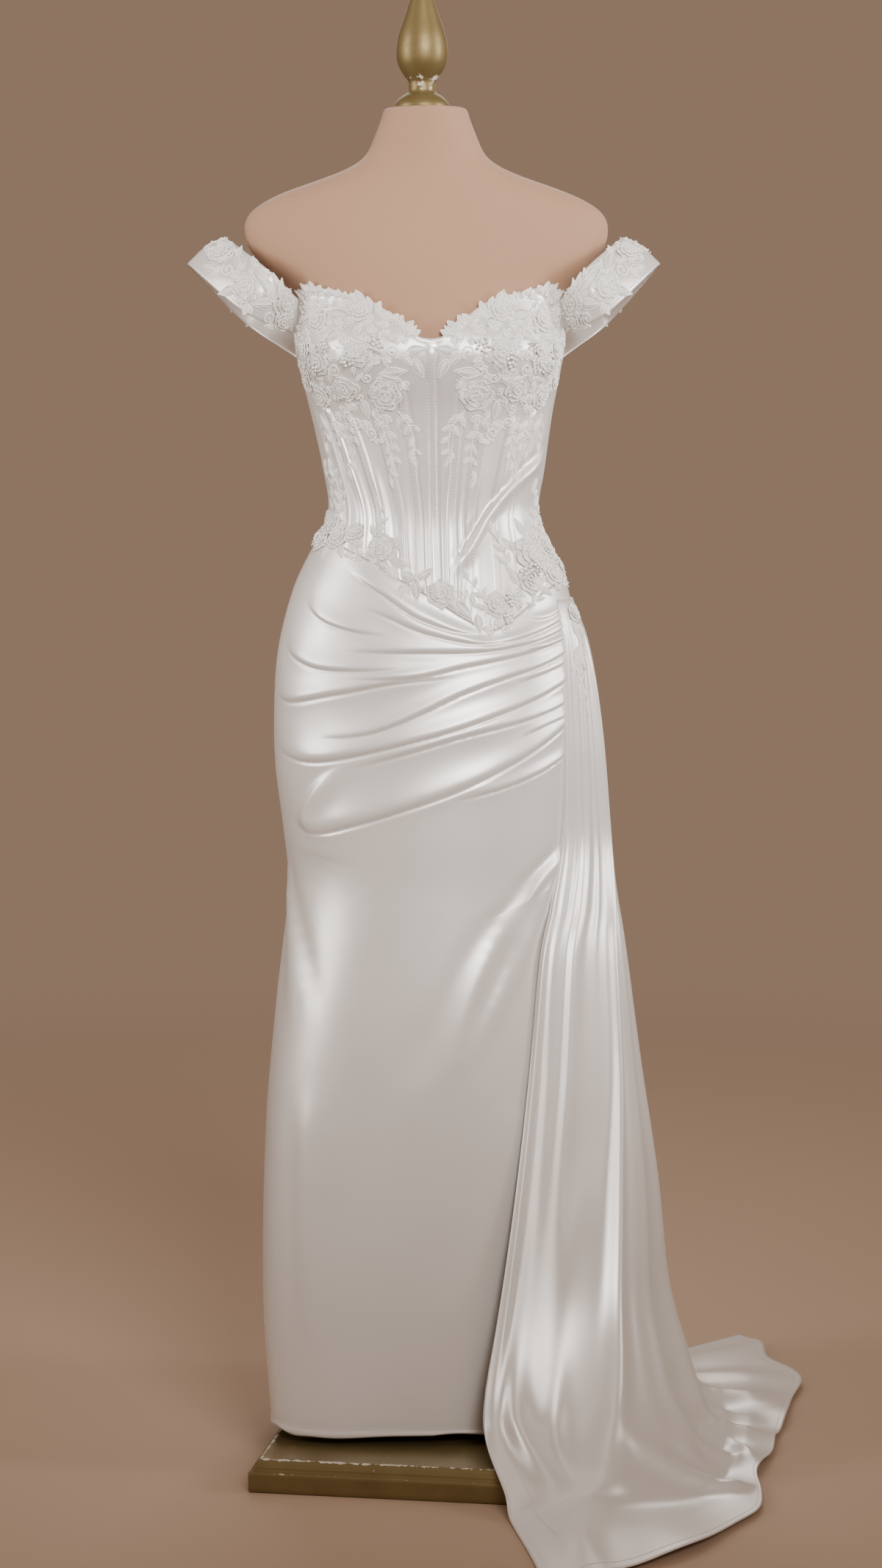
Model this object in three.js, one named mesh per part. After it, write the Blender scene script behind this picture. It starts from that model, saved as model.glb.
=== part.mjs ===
// A satin wedding dress on a limbless dress form: a boned corset bodice with cups and off-shoulder
// sleeves, thick lace applique, a skirt gathered across the hip, and a side drape that ends in a train.
// Millimetres, +Z up. The front faces -Y, the wearer's left is +X, and the floor is Z = 0.
// The origin is the middle of the plinth's underside.
import * as THREE from "three";

// Driving dimensions
const CLOTH = 2; // a satin wall with its backing
const SEAM_GAP = 0.3; // between pieces that are sewn together
const FORM_GAP = 2.1; // between the form and the inside of the bodice
const HIP_GAP = 5; // between the form and the inside of the skirt
const ON_TOP = 1; // between a panel and what lies on it
const DRESS_AXIS = { x: -18, y: 15 }; // the dress stands a little off the plinth's middle
const TORSO_FOOT = 640; // height of the torso's flat underside
const NECK_TOP = 1495;
const HEM = 46; // the skirt's hem hangs this far above the floor
const BONE = { width: 7, height: 1.2, margin: 5 };
const TUCK = { width: 13, height: 5 };
const CUP = { angle: 36, height: 1222, spread: 26, reach: 46, depth: 15, inner: 3, outer: 84 };
const POLE_RADIUS = 16;
const PLINTH = { width: 360, depth: 486, height: 35, turn: THREE.MathUtils.degToRad(-9) };
const FINIAL_SHIFT = -10; // the finial leans with the neck towards the wearer's right

// Horizontal sections of the dressed figure: half widths to the wearer's right and left, depths in front
// and behind, and how square the front is on the wearer's right, where 2 is an ellipse. Above the
// neckline only the form has these sections.
const FIGURE = [
  { height: 1495, right: 55, left: 43, front: 46, back: 52, square: 2 },
  { height: 1463, right: 67, left: 55, front: 48, back: 56, square: 2 },
  { height: 1437, right: 82, left: 70, front: 50, back: 62, square: 2 },
  { height: 1420, right: 119, left: 106, front: 53, back: 68, square: 2 },
  { height: 1404, right: 167, left: 154, front: 57, back: 74, square: 2 },
  { height: 1385, right: 201, left: 190, front: 62, back: 80, square: 2 },
  { height: 1366, right: 211, left: 200, front: 68, back: 84, square: 2 },
  { height: 1335, right: 201, left: 192, front: 78, back: 90, square: 2 },
  { height: 1290, right: 158, left: 154, front: 95, back: 95, square: 2 },
  { height: 1228, right: 150, left: 147, front: 112, back: 95, square: 2 },
  { height: 1163, right: 134, left: 135, front: 99, back: 88, square: 2 },
  { height: 1098, right: 120, left: 126, front: 91, back: 81, square: 2 },
  { height: 1049, right: 115, left: 120, front: 88, back: 81, square: 2 },
  { height: 1000, right: 139, left: 140, front: 93, back: 94, square: 2 },
  { height: 967, right: 154, left: 153, front: 98, back: 105, square: 2 },
  { height: 901, right: 171, left: 164, front: 106, back: 121, square: 2 },
  { height: 835, right: 176, left: 165, front: 111, back: 126, square: 2 },
  { height: 769, right: 175, left: 163, front: 114, back: 124, square: 2 },
  { height: 703, right: 167, left: 160, front: 117, back: 120, square: 2 },
  { height: 636, right: 161, left: 160, front: 121, back: 120, square: 2 },
  { height: 502, right: 175, left: 174, front: 138, back: 137, square: 2.5 },
  { height: 367, right: 186, left: 186, front: 152, back: 154, square: 3.3 },
  { height: 179, right: 188, left: 188, front: 166, back: 172, square: 4.6 },
  { height: 46, right: 178, left: 182, front: 174, back: 180, square: 5.5 },
];

// Edges of the bodice by angle, in degrees from the front centre towards the wearer's left.
const NECKLINE = [
  { angle: 0, height: 1240 },
  { angle: 5, height: 1243 },
  { angle: 12, height: 1258 },
  { angle: 24, height: 1281 },
  { angle: 38, height: 1291 },
  { angle: 50, height: 1297 },
  { angle: 62, height: 1293 },
  { angle: 74, height: 1273 },
  { angle: 84, height: 1254 },
  { angle: 100, height: 1240 },
  { angle: 130, height: 1230 },
  { angle: 180, height: 1224 },
];
const UNDERWIRE = [
  { angle: 0, height: 1240 },
  { angle: 5, height: 1232 },
  { angle: 12, height: 1200 },
  { angle: 24, height: 1170 },
  { angle: 38, height: 1160 },
  { angle: 52, height: 1164 },
  { angle: 66, height: 1186 },
  { angle: 78, height: 1226 },
  { angle: 84, height: 1254 },
];
const WAISTLINE = [
  { angle: -180, height: 1000 },
  { angle: -130, height: 1012 },
  { angle: -90, height: 1024 },
  { angle: -66, height: 1022 },
  { angle: -46, height: 1013 },
  { angle: -30, height: 1000 },
  { angle: -14, height: 980 },
  { angle: 0, height: 960 },
  { angle: 14, height: 936 },
  { angle: 24, height: 924 },
  { angle: 34, height: 935 },
  { angle: 50, height: 960 },
  { angle: 66, height: 972 },
  { angle: 90, height: 976 },
  { angle: 130, height: 986 },
  { angle: 180, height: 1000 },
];

// Seams of the bodice run from the waistline up, and come together towards the point in front. Each
// row is the panel between two seams, from the wearer's right round the front to the left.
const BODICE_PANELS = [
  { name: "bodice_back_right", low: [-180, -94], high: [-180, -98], columns: 8 },
  { name: "bodice_side_right", low: [-94, -34], high: [-98, -56], columns: 6 },
  { name: "bodice_side_front_right", low: [-34, -10], high: [-56, -27], columns: 4 },
  { name: "bodice_front_right", low: [-10, 2], high: [-27, 0], columns: 4 },
  { name: "bodice_front_left", low: [2, 14], high: [0, 27], columns: 4 },
  { name: "bodice_side_front_left", low: [14, 38], high: [27, 56], columns: 4 },
  { name: "bodice_side_left", low: [38, 94], high: [56, 98], columns: 6 },
  { name: "bodice_back_left", low: [94, 180], high: [98, 180], columns: 8 },
];
const BODICE_ROWS = 8;
// Bones by the angle of each end, and how far above the waistline the lace lets the lower end show.
const BONES = [
  { name: "bone_right_4", low: -34, high: -56, foot: 36 },
  { name: "bone_right_3", low: -22, high: -41.5, foot: 36 },
  { name: "bone_right_2", low: -10, high: -27, foot: 30 },
  { name: "bone_right_1", low: -4, high: -13.5, foot: 26 },
  { name: "bone_centre", low: 2, high: 0, foot: 26 },
  { name: "bone_left_1", low: 8, high: 13.5, foot: 24 },
  { name: "bone_left_2", low: 14, high: 27, foot: 28 },
  { name: "bone_left_3", low: 26, high: 41.5, foot: 34 },
  { name: "bone_left_4", low: 38, high: 56, foot: 52 },
];
// One loose fold of the satin lies slantwise over the bones on the wearer's left.
const TUCK_LINE = [
  { share: 0, angle: 17, height: 972 },
  { share: 0.5, angle: 44, height: 1032 },
  { share: 1, angle: 84, height: 1112 },
];

// Skirt panels by angle, and the gathers across them. Each gather starts at the drape's seam on the
// wearer's left and falls across the front to the wearer's right, where it fades out.
const DRAPE_SEAM = 66;
const SKIRT_PANELS = [
  { name: "skirt_back_right", from: -180, to: -94, rowStep: 5 },
  { name: "skirt_front", from: -94, to: DRAPE_SEAM, rowStep: 1 },
  { name: "skirt_back_left", from: DRAPE_SEAM, to: 180, rowStep: 5 },
];
const GATHERS = [
  { left: 948, middle: 926, right: 990, fade: -75, width: 11, depth: 5 },
  { left: 931, middle: 904, right: 952, fade: -85, width: 10, depth: 6 },
  { left: 920, middle: 882, right: 906, fade: -95, width: 10, depth: 6 },
  { left: 906, middle: 860, right: 847, fade: -100, width: 10, depth: 6 },
  { left: 890, middle: 834, right: 802, fade: -100, width: 11, depth: 5 },
  { left: 866, middle: 806, right: 782, fade: -95, width: 11, depth: 6 },
  { left: 842, middle: 780, right: 748, fade: -80, width: 12, depth: 4 },
  { left: 815, middle: 738, right: 702, fade: -80, width: 12, depth: 7 },
  { left: 780, middle: 726, right: 690, fade: -20, width: 14, depth: 3 },
];
const GATHER = { middle: -2, right: -70, startFade: 12, waistFade: 26, trough: 0.45 };
// Soft upright waves of the skirt below the gathers.
const FLUTES = [
  { angle: -64, width: 16, depth: 3 },
  { angle: -20, width: 14, depth: 2.5 },
  { angle: 22, width: 12, depth: 3 },
  { angle: 48, width: 10, depth: 4 },
  { angle: 128, width: 16, depth: 5 },
  { angle: 165, width: 14, depth: 4 },
  { angle: -150, width: 16, depth: 5 },
  { angle: -112, width: 16, depth: 4 },
];
const FLUTE_TOP = 620;
const SKIRT_ROWS = [0, 0.13, 0.27, 0.4, 0.5, 0.58, 0.64]; // the rest are even up to the waistline
const GATHERED_ROWS = 30;
const SEAM_TURN = 0.1; // degrees that a skirt panel stops short of each seam
const LACE_SEAM_TURN = 0.4; // the same where two pieces of lace meet

// The side drape, ring by ring from the hip to the hem on the floor: where each ring starts in front
// and ends behind, and its distance from the dress's axis at five even shares of that stretch.
const DRAPE_RINGS = [
  { height: 956, from: 72, to: 98, radii: [148.8, 154, 157.6, 158.4, 156.8] },
  { height: 900, from: 72, to: 106, radii: [161, 170, 176, 177, 171] },
  { height: 800, from: 72, to: 112, radii: [163, 180, 192, 191, 178] },
  { height: 690, from: 72, to: 119, radii: [163, 186, 202, 200, 182] },
  { height: 620, from: 61, to: 124, radii: [163, 190, 208, 206, 184] },
  { height: 560, from: 51, to: 128, radii: [164, 192, 215, 213, 188] },
  { height: 430, from: 41, to: 132, radii: [173, 204, 231, 228, 200] },
  { height: 300, from: 31, to: 136, radii: [183, 217, 250, 243, 212] },
  { height: 180, from: 22, to: 139, radii: [194, 242, 262, 258, 232] },
  { height: 100, from: 16, to: 140, radii: [212, 282, 285, 284, 270] },
  { height: 58, from: 14.5, to: 140, radii: [236, 322, 300, 304, 304] },
  { height: 24, from: 14.5, to: 139, radii: [312, 358, 312, 320, 338] },
  { height: 5, from: 14, to: 138.5, radii: [346, 388, 335, 344, 366] },
  { height: 3, from: 13, to: 138, radii: [452, 426, 362, 392, 466] },
  { height: 3, from: 12, to: 137, radii: [556, 468, 390, 440, 572] },
];
const DRAPE_FOLDS = [
  { high: 0.1, low: 0.06, width: 0.045, depth: 9 },
  { high: 0.24, low: 0.19, width: 0.05, depth: 14 },
  { high: 0.38, low: 0.34, width: 0.05, depth: 12 },
  { high: 0.52, low: 0.49, width: 0.05, depth: 14 },
  { high: 0.66, low: 0.64, width: 0.05, depth: 12 },
  { high: 0.8, low: 0.79, width: 0.05, depth: 12 },
  { high: 0.92, low: 0.93, width: 0.04, depth: 8 },
];
const DRAPE = { cloth: 1.6, columns: 32, rows: 22 };
const FOLDING = { start: 0.12, trough: 4, floor: 1.5, hemFade: 0.12 };

// Off-shoulder sleeve of the wearer's left: an open band that leaves the bodice in front, turns past
// the shoulder and comes back behind. The first and last stations lie on the bodice.
const SLEEVE_STATIONS = [
  { share: 0.22, upper: [172, -58, 1316], lower: [198, -64, 1270] },
  { share: 0.5, upper: [220, 8, 1354], lower: [262, 4, 1326] },
  { share: 0.78, upper: [182, 66, 1312], lower: [206, 72, 1264] },
];
const SLEEVE_ENDS = {
  front: { upper: { angle: 66, height: 1284 }, lower: { angle: 82, height: 1249 } },
  back: { upper: { angle: 124, height: 1230 }, lower: { angle: 100, height: 1222 } },
};
const SLEEVE = { columns: 18, rows: 3, bulge: 4, shift: -8 };

// Lace along the bodice's lower edge: how far it climbs above the waistline and hangs below it.
const WAIST_LACE = [
  { angle: -94, rise: 36, drop: 12 },
  { angle: -66, rise: 32, drop: 12 },
  { angle: -46, rise: 22, drop: 10 },
  { angle: -28, rise: 30, drop: 12 },
  { angle: -14, rise: 22, drop: 12 },
  { angle: 2, rise: 18, drop: 12 },
  { angle: 14, rise: 20, drop: 12 },
  { angle: 26, rise: 26, drop: 10 },
  { angle: 38, rise: 42, drop: 10 },
  { angle: 52, rise: 62, drop: 9 },
  { angle: 70, rise: 70, drop: 8 },
  { angle: 94, rise: 50, drop: 8 },
];
const WAIST_PATCHES = [
  { name: "lace_waist_right", from: -94, to: 2 },
  { name: "lace_waist_left", from: 2, to: 94 },
];
// Lace on the cups covers them and hangs below the underwire in sprays, longest below the middle.
// It stops in front of the sleeve's end, which falls towards the side.
const CUP_LACE = {
  inner: 4,
  outer: 78,
  hang: 16,
  spray: 62,
  middle: 34,
  spread: 24,
  short: 0.3,
  above: 3,
  off: 3.8,
  sleeveAngle: 60,
  sleeveTop: 1288,
  sleeveFall: 2.7,
};
const SLEEVE_LACE = { firstColumn: 1, lastColumn: 10, edge: 0.26, top: 0.97 };
const TAIL_LACE = { share: 0.2, halfWidth: 0.14, from: 0.012, to: 0.105, off: 1.8 };
const LACE = { thick: 1.4, relief: 2.4, off: 2.7, scallop: 0.16 };

// Turned finial on the neck: heights above the neck's top and radii.
const FINIAL_PROFILE = [
  { height: 0.3, radius: 0 },
  { height: 0.3, radius: 30 },
  { height: 6, radius: 29 },
  { height: 13, radius: 23 },
  { height: 17, radius: 15.5 },
  { height: 31, radius: 15 },
  { height: 38, radius: 21 },
  { height: 50, radius: 27 },
  { height: 63, radius: 28.5 },
  { height: 80, radius: 26 },
  { height: 102, radius: 18.5 },
  { height: 124, radius: 11 },
  { height: 140, radius: 6 },
  { height: 147, radius: 0 },
];
// Moulded edge of the plinth: height and how far each step stands in from the edge.
const PLINTH_PROFILE = [
  { height: 0, inset: 2 },
  { height: 2, inset: 0 },
  { height: 22, inset: 0 },
  { height: 24, inset: 5 },
  { height: 28, inset: 5 },
  { height: 31, inset: 9 },
  { height: 35, inset: 12 },
];

// Materials
const cloth = (color, roughness) =>
  new THREE.MeshStandardMaterial({ color, roughness, metalness: 0, side: THREE.DoubleSide });
const satin = cloth(0xe9e3e0, 0.38);
const lace = cloth(0xefeae3, 0.6);
const jersey = cloth(0xc8a58d, 0.85);
const gilt = new THREE.MeshStandardMaterial({ color: 0x8d7440, roughness: 0.45, metalness: 0.55 });

// Curves through the tables
const { lerp, smoothstep, degToRad } = THREE.MathUtils;

// A smooth curve of one column of a table against another, flat past its ends.
function tableCurve(rows, key, column) {
  const sorted = [...rows].sort((a, b) => a[key] - b[key]);
  const at = sorted.map((row) => row[key]);
  const value = sorted.map(typeof column === "function" ? column : (row) => row[column]);
  const last = at.length - 1;
  const slope = at.map((_, i) => {
    const before = Math.max(i - 1, 0);
    const after = Math.min(i + 1, last);
    return (value[after] - value[before]) / (at[after] - at[before]);
  });
  return (x) => {
    if (x <= at[0]) return value[0];
    if (x >= at[last]) return value[last];
    let i = 0;
    while (x > at[i + 1]) i++;
    const span = at[i + 1] - at[i];
    const t = (x - at[i]) / span;
    const rest = 1 - t;
    return (
      value[i] * rest * rest * (1 + 2 * t) +
      value[i + 1] * t * t * (3 - 2 * t) +
      span * t * rest * (slope[i] * rest - slope[i + 1] * t)
    );
  };
}

const bump = (distance, width) => Math.exp(-((distance / width) ** 2));

const halfRight = tableCurve(FIGURE, "height", "right");
const halfLeft = tableCurve(FIGURE, "height", "left");
const depthFront = tableCurve(FIGURE, "height", "front");
const depthBack = tableCurve(FIGURE, "height", "back");
const squareness = tableCurve(FIGURE, "height", "square");
const waistline = tableCurve(WAISTLINE, "angle", "height");
const necklineOf = tableCurve(NECKLINE, "angle", "height");
const underwireOf = tableCurve(UNDERWIRE, "angle", "height");
const neckline = (angle) => necklineOf(Math.abs(angle));
const underwire = (angle) => underwireOf(Math.abs(angle));
const panelTop = (angle) => (Math.abs(angle) < 84 ? underwire(angle) : neckline(angle));

// The figure's surfaces

// A point of the plain figure, moved out level by a distance.
function onFigure(angle, height, out = 0) {
  const turn = degToRad(angle);
  const sideways = Math.sin(turn);
  const forwards = Math.cos(turn);
  const half = sideways > 0 ? halfLeft(height) : halfRight(height);
  const depth = forwards > 0 ? depthFront(height) : depthBack(height);
  const power = sideways < 0 && forwards > 0 ? 2 / squareness(height) : 1;
  const x = Math.sign(sideways) * Math.abs(sideways) ** power;
  const y = Math.sign(forwards) * Math.abs(forwards) ** power;
  return new THREE.Vector3(x * (half + out), -y * (depth + out), height);
}

// The bodice stands out over the figure at its two cups.
function onBodice(angle, height, out = 0) {
  const fromApex = (Math.abs(angle) - CUP.angle) / CUP.spread;
  const lift = (height - CUP.height) / CUP.reach;
  return onFigure(angle, height, out + CUP.depth * Math.exp(-fromApex * fromApex - lift * lift));
}

// How far the gathers lift the skirt: a ridge along each line, with a shallow trough below it.
function gatherLift(angle, height) {
  const below = smoothstep(waistline(angle) - height, 0, GATHER.waistFade);
  let lift = 0;
  for (const fold of GATHERS) {
    const line = tableCurve(
      [
        { angle: GATHER.right, height: fold.right },
        { angle: GATHER.middle, height: fold.middle },
        { angle: DRAPE_SEAM, height: fold.left },
      ],
      "angle",
      "height",
    );
    const shown =
      smoothstep(angle, fold.fade, fold.fade + 40) *
      (1 - smoothstep(angle, DRAPE_SEAM - GATHER.startFade, DRAPE_SEAM));
    const above = height - line(angle);
    const ridge = bump(above, fold.width);
    const trough = GATHER.trough * bump(above + 1.5 * fold.width, fold.width);
    lift += fold.depth * shown * (ridge - trough);
  }
  return Math.max(lift * below, -2);
}

function fluteLift(angle, height) {
  const shown = 1 - smoothstep(height, HEM, FLUTE_TOP);
  return FLUTES.reduce((sum, flute) => sum + flute.depth * shown * bump(angle - flute.angle, flute.width), 0);
}

function onSkirt(angle, height, out = 0) {
  return onFigure(angle, height, out + gatherLift(angle, height) + fluteLift(angle, height));
}

// Building closed walls

const STEP = 1e-3;
const SEAM_SHARE = 0.002; // a panel stops this share of its width short of each seam

// The outward direction of a surface whose u runs to the wearer's left and whose v runs up.
function outward(surface, u, v) {
  const along = surface(Math.min(u + STEP, 1), v).sub(surface(Math.max(u - STEP, 0), v));
  const up = surface(u, Math.min(v + STEP, 1)).sub(surface(u, Math.max(v - STEP, 0)));
  return along.cross(up).normalize();
}

const inside = (surface, thickness) => (u, v) =>
  surface(u, v).addScaledVector(outward(surface, u, v), -thickness);

function geometryOf(points, triangles) {
  return new THREE.BufferGeometry()
    .setAttribute("position", new THREE.Float32BufferAttribute(points.flatMap((p) => p.toArray()), 3))
    .setIndex(triangles.flat());
}

const evenly = (count) => Array.from({ length: count + 1 }, (_, i) => i / count);

// A closed wall between an outer and an inner surface over a grid of shares.
function wall(outer, inner, columnShares, rowShares) {
  const wide = columnShares.length;
  const high = rowShares.length;
  const points = [outer, inner].flatMap((surface) =>
    rowShares.flatMap((v) => columnShares.map((u) => surface(u, v))),
  );
  const out = (i, j) => j * wide + i;
  const within = (i, j) => wide * high + out(i, j);
  const triangles = [];
  const quad = (a, b, c, d) => triangles.push([a, b, c], [a, c, d]);
  for (let j = 0; j + 1 < high; j++) {
    for (let i = 0; i + 1 < wide; i++) {
      quad(out(i, j), out(i + 1, j), out(i + 1, j + 1), out(i, j + 1));
      quad(within(i, j), within(i, j + 1), within(i + 1, j + 1), within(i + 1, j));
    }
    quad(out(0, j), out(0, j + 1), within(0, j + 1), within(0, j));
    quad(out(wide - 1, j), within(wide - 1, j), within(wide - 1, j + 1), out(wide - 1, j + 1));
  }
  for (let i = 0; i + 1 < wide; i++) {
    quad(out(i, 0), within(i, 0), within(i + 1, 0), out(i + 1, 0));
    quad(out(i, high - 1), out(i + 1, high - 1), within(i + 1, high - 1), within(i, high - 1));
  }
  return geometryOf(points, triangles);
}

// A solid through closed rings of points, listed from the bottom up, with flat ends.
function loft(rings) {
  const count = rings[0].length;
  const points = rings.flat();
  const triangles = [];
  for (let j = 0; j + 1 < rings.length; j++) {
    for (let i = 0; i < count; i++) {
      const next = (i + 1) % count;
      const [low, high] = [j * count, (j + 1) * count];
      triangles.push([low + i, low + next, high + next], [low + i, high + next, high + i]);
    }
  }
  const top = (rings.length - 1) * count;
  for (let i = 1; i + 1 < count; i++) triangles.push([0, i + 1, i], [top, top + i, top + i + 1]);
  return geometryOf(points, triangles);
}

const lay = (name, geometry, material) => {
  const mesh = new THREE.Mesh(geometry, material);
  mesh.name = name;
  return mesh;
};

// Bodice

const between = ([from, to], share) => lerp(from, to, share);

function bodicePanel({ name, low, high, columns }) {
  const trim = SEAM_GAP / 2;
  const surface = (out) => (u, v) => {
    const share = lerp(SEAM_SHARE, 1 - SEAM_SHARE, u);
    const lowAngle = between(low, share);
    const highAngle = between(high, share);
    const height = lerp(waistline(lowAngle) + trim, panelTop(highAngle) - trim, v);
    return onBodice(lerp(lowAngle, highAngle, v), height, out);
  };
  return lay(name, wall(surface(0), surface(-CLOTH), evenly(columns), evenly(BODICE_ROWS)), satin);
}

// A cup stands on the panels below it, so its columns are theirs.
const columnAngles = (ends, columns) => evenly(columns).map((u) => Number(between(ends, u).toFixed(6)));
const cupSeams = BODICE_PANELS.slice(4, 7).flatMap(({ high, columns }) => columnAngles(high, columns));
const cupStations = [
  CUP.inner,
  ...new Set(cupSeams.filter((angle) => angle > CUP.inner && angle < CUP.outer)),
  CUP.outer - 2,
];

function cup(name, side) {
  const shares = cupStations.map((angle) => (angle - CUP.inner) / (CUP.outer - CUP.inner));
  const surface = (out) => (u, v) => {
    const angle = side * lerp(CUP.inner, CUP.outer, side > 0 ? u : 1 - u);
    const seat = SEAM_GAP * (2 + 4 * smoothstep(Math.abs(angle), CUP.outer - 7, CUP.outer - 2));
    return onBodice(angle, lerp(underwire(angle) + seat, neckline(angle), v), out);
  };
  const columnShares = side > 0 ? shares : shares.map((share) => 1 - share).reverse();
  return lay(name, wall(surface(0), surface(-CLOTH), columnShares, evenly(6)), satin);
}

function bone({ name, low, high, foot }) {
  const strip = (out) => (u, v) => {
    const angle = lerp(low, high, v);
    const height = lerp(waistline(low) + foot, panelTop(high) - BONE.margin, v);
    const point = onBodice(angle, height, out);
    const beside = onBodice(angle + 1, height, out).sub(point).normalize();
    return point.addScaledVector(beside, (u - 0.5) * BONE.width);
  };
  return lay(name, wall(strip(ON_TOP + BONE.height), strip(ON_TOP), evenly(1), evenly(BODICE_ROWS)), satin);
}

function tuck() {
  const angleAt = tableCurve(TUCK_LINE, "share", "angle");
  const heightAt = tableCurve(TUCK_LINE, "share", "height");
  const base = 2 * ON_TOP + BONE.height;
  const fold = (rise) => (u, v) => {
    const taper = Math.sin(Math.PI * lerp(0.12, 0.88, v));
    const across = (u - 0.5) * TUCK.width * taper;
    const crown = Math.sin(Math.PI * lerp(0.08, 0.92, u));
    return onBodice(angleAt(v), heightAt(v) - across, base + rise * taper * crown);
  };
  return lay("bodice_tuck", wall(fold(TUCK.height), fold(0), evenly(4), evenly(14)), satin);
}

// Skirt

// The skirt hangs from the bodice's lower edge, so its columns are those of the panels above.
const waistAngles = [...new Set(BODICE_PANELS.flatMap(({ low, columns }) => columnAngles(low, columns)))];

function skirtPanel({ name, from, to, rowStep }) {
  const inPanel = waistAngles.filter((angle) => angle > from + 0.1 && angle < to - 0.1);
  const angles = [from + SEAM_TURN, ...inPanel, to - SEAM_TURN];
  const gathered = evenly(GATHERED_ROWS).map((share) => lerp(SKIRT_ROWS.at(-1), 1, share));
  const lastRow = gathered.length - 1;
  const shown = gathered.filter((_, i) => i % rowStep === 0 || i === lastRow);
  const surface = (out) => (u, v) => {
    const angle = lerp(from, to, u);
    return onSkirt(angle, lerp(HEM, waistline(angle) - SEAM_GAP / 2, v), out);
  };
  const shares = angles.map((angle) => (angle - from) / (to - from));
  const geometry = wall(surface(0), surface(-CLOTH), shares, [...SKIRT_ROWS.slice(0, -1), ...shown]);
  return lay(name, geometry, satin);
}

// Drape and train

const ringCount = DRAPE_RINGS.length - 1;
const rings = DRAPE_RINGS.map((ring, i) => ({ ...ring, share: i / ringCount }));
const ringColumn = (column) => tableCurve(rings, "share", column);
const drapeFrom = ringColumn("from");
const drapeTo = ringColumn("to");
const drapeHeight = ringColumn("height");
const drapeRadii = [0, 1, 2, 3, 4].map((k) => ringColumn((ring) => ring.radii[k]));
const FLOOR_SHARE = rings.find((ring) => ring.height < 10).share;

// A point of the drape without its folds: across from its front edge, and down from the hip to the hem.
function plainDrape(across, down) {
  const stations = drapeRadii.map((radiusAt, k) => ({ share: k / 4, radius: radiusAt(down) }));
  const radius = tableCurve(stations, "share", "radius")(across);
  const turn = degToRad(lerp(drapeFrom(down), drapeTo(down), across));
  return new THREE.Vector3(Math.sin(turn) * radius, -Math.cos(turn) * radius, drapeHeight(down));
}

// The folds are upright pleats while the drape hangs, and low ridges where it lies on the floor.
function drapeFold(across, down) {
  const hanging = smoothstep(down, 0, FOLDING.start) * Math.min(1, 0.35 + down);
  const lying = smoothstep(down, FLOOR_SHARE - 0.1, FLOOR_SHARE);
  const edges = smoothstep(across, 0, 0.06) * smoothstep(1 - across, 0, 0.06);
  let lift = 0;
  for (const fold of DRAPE_FOLDS) {
    const place = lerp(fold.high, fold.low, down);
    const ridge = bump(across - place, fold.width);
    lift += fold.depth * ridge * lerp(1, FOLDING.floor, lying);
  }
  lift -= FOLDING.trough * (1 - lying);
  const hem = lerp(1, smoothstep(1 - down, 0, FOLDING.hemFade), lying);
  return lift * hanging * edges * hem;
}

function onDrape(across, down, out = 0) {
  const plain = (u, v) => plainDrape(u, 1 - v);
  const normal = outward(plain, across, 1 - down);
  return plainDrape(across, down).addScaledVector(normal, out + drapeFold(across, down));
}

function drape() {
  const surface = (u, v) => onDrape(u, 1 - v);
  const geometry = wall(surface, inside(surface, DRAPE.cloth), evenly(DRAPE.columns), evenly(DRAPE.rows));
  return lay("drape_train", geometry, satin);
}

// Sleeves

const vector = (point) => new THREE.Vector3(...point);
const edgeCurve = (stations, edge) => {
  const axes = [0, 1, 2].map((k) => tableCurve(stations, "share", (row) => row[edge][k]));
  return (share) => vector(axes.map((axis) => axis(share)));
};

// Both edges of one sleeve, as if it were the wearer's left one: its ends lie on its own side of the bodice.
function sleeveEdges(side) {
  const seat = ({ angle, height }) => {
    const { x, y, z } = onBodice(side * angle, height, CLOTH + SEAM_GAP);
    return [side * x, y, z];
  };
  const end = (share, { upper, lower }) => ({ share, upper: seat(upper), lower: seat(lower) });
  const stations = [end(0, SLEEVE_ENDS.front), ...SLEEVE_STATIONS, end(1, SLEEVE_ENDS.back)];
  return { upper: edgeCurve(stations, "upper"), lower: edgeCurve(stations, "lower") };
}
const leftEdges = sleeveEdges(1);
const rightEdges = sleeveEdges(-1);

// A point of a sleeve, from its front end round to the back and from its lower edge up.
function onSleeve(side, share, across, out = 0) {
  const edges = side > 0 ? leftEdges : rightEdges;
  const plain = (u, v) => edges.lower(u).lerp(edges.upper(u), v);
  const bulge = SLEEVE.bulge * Math.sin(Math.PI * across);
  const point = plain(share, across).addScaledVector(outward(plain, share, across), bulge + out);
  point.x = point.x * side + SLEEVE.shift * Math.sin(Math.PI * share);
  return point;
}

function sleeve(name, side) {
  const surface = (u, v) => onSleeve(side, side > 0 ? u : 1 - u, v);
  const geometry = wall(surface, inside(surface, CLOTH), evenly(SLEEVE.columns), evenly(SLEEVE.rows));
  return lay(name, geometry, satin);
}

// Lace

const sharesOf = (angles) => angles.map((angle) => (angle - angles[0]) / (angles.at(-1) - angles[0]));
const nearestColumn = (shares) => (u) => shares.findIndex((share) => Math.abs(share - u) < 1e-6);

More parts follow.
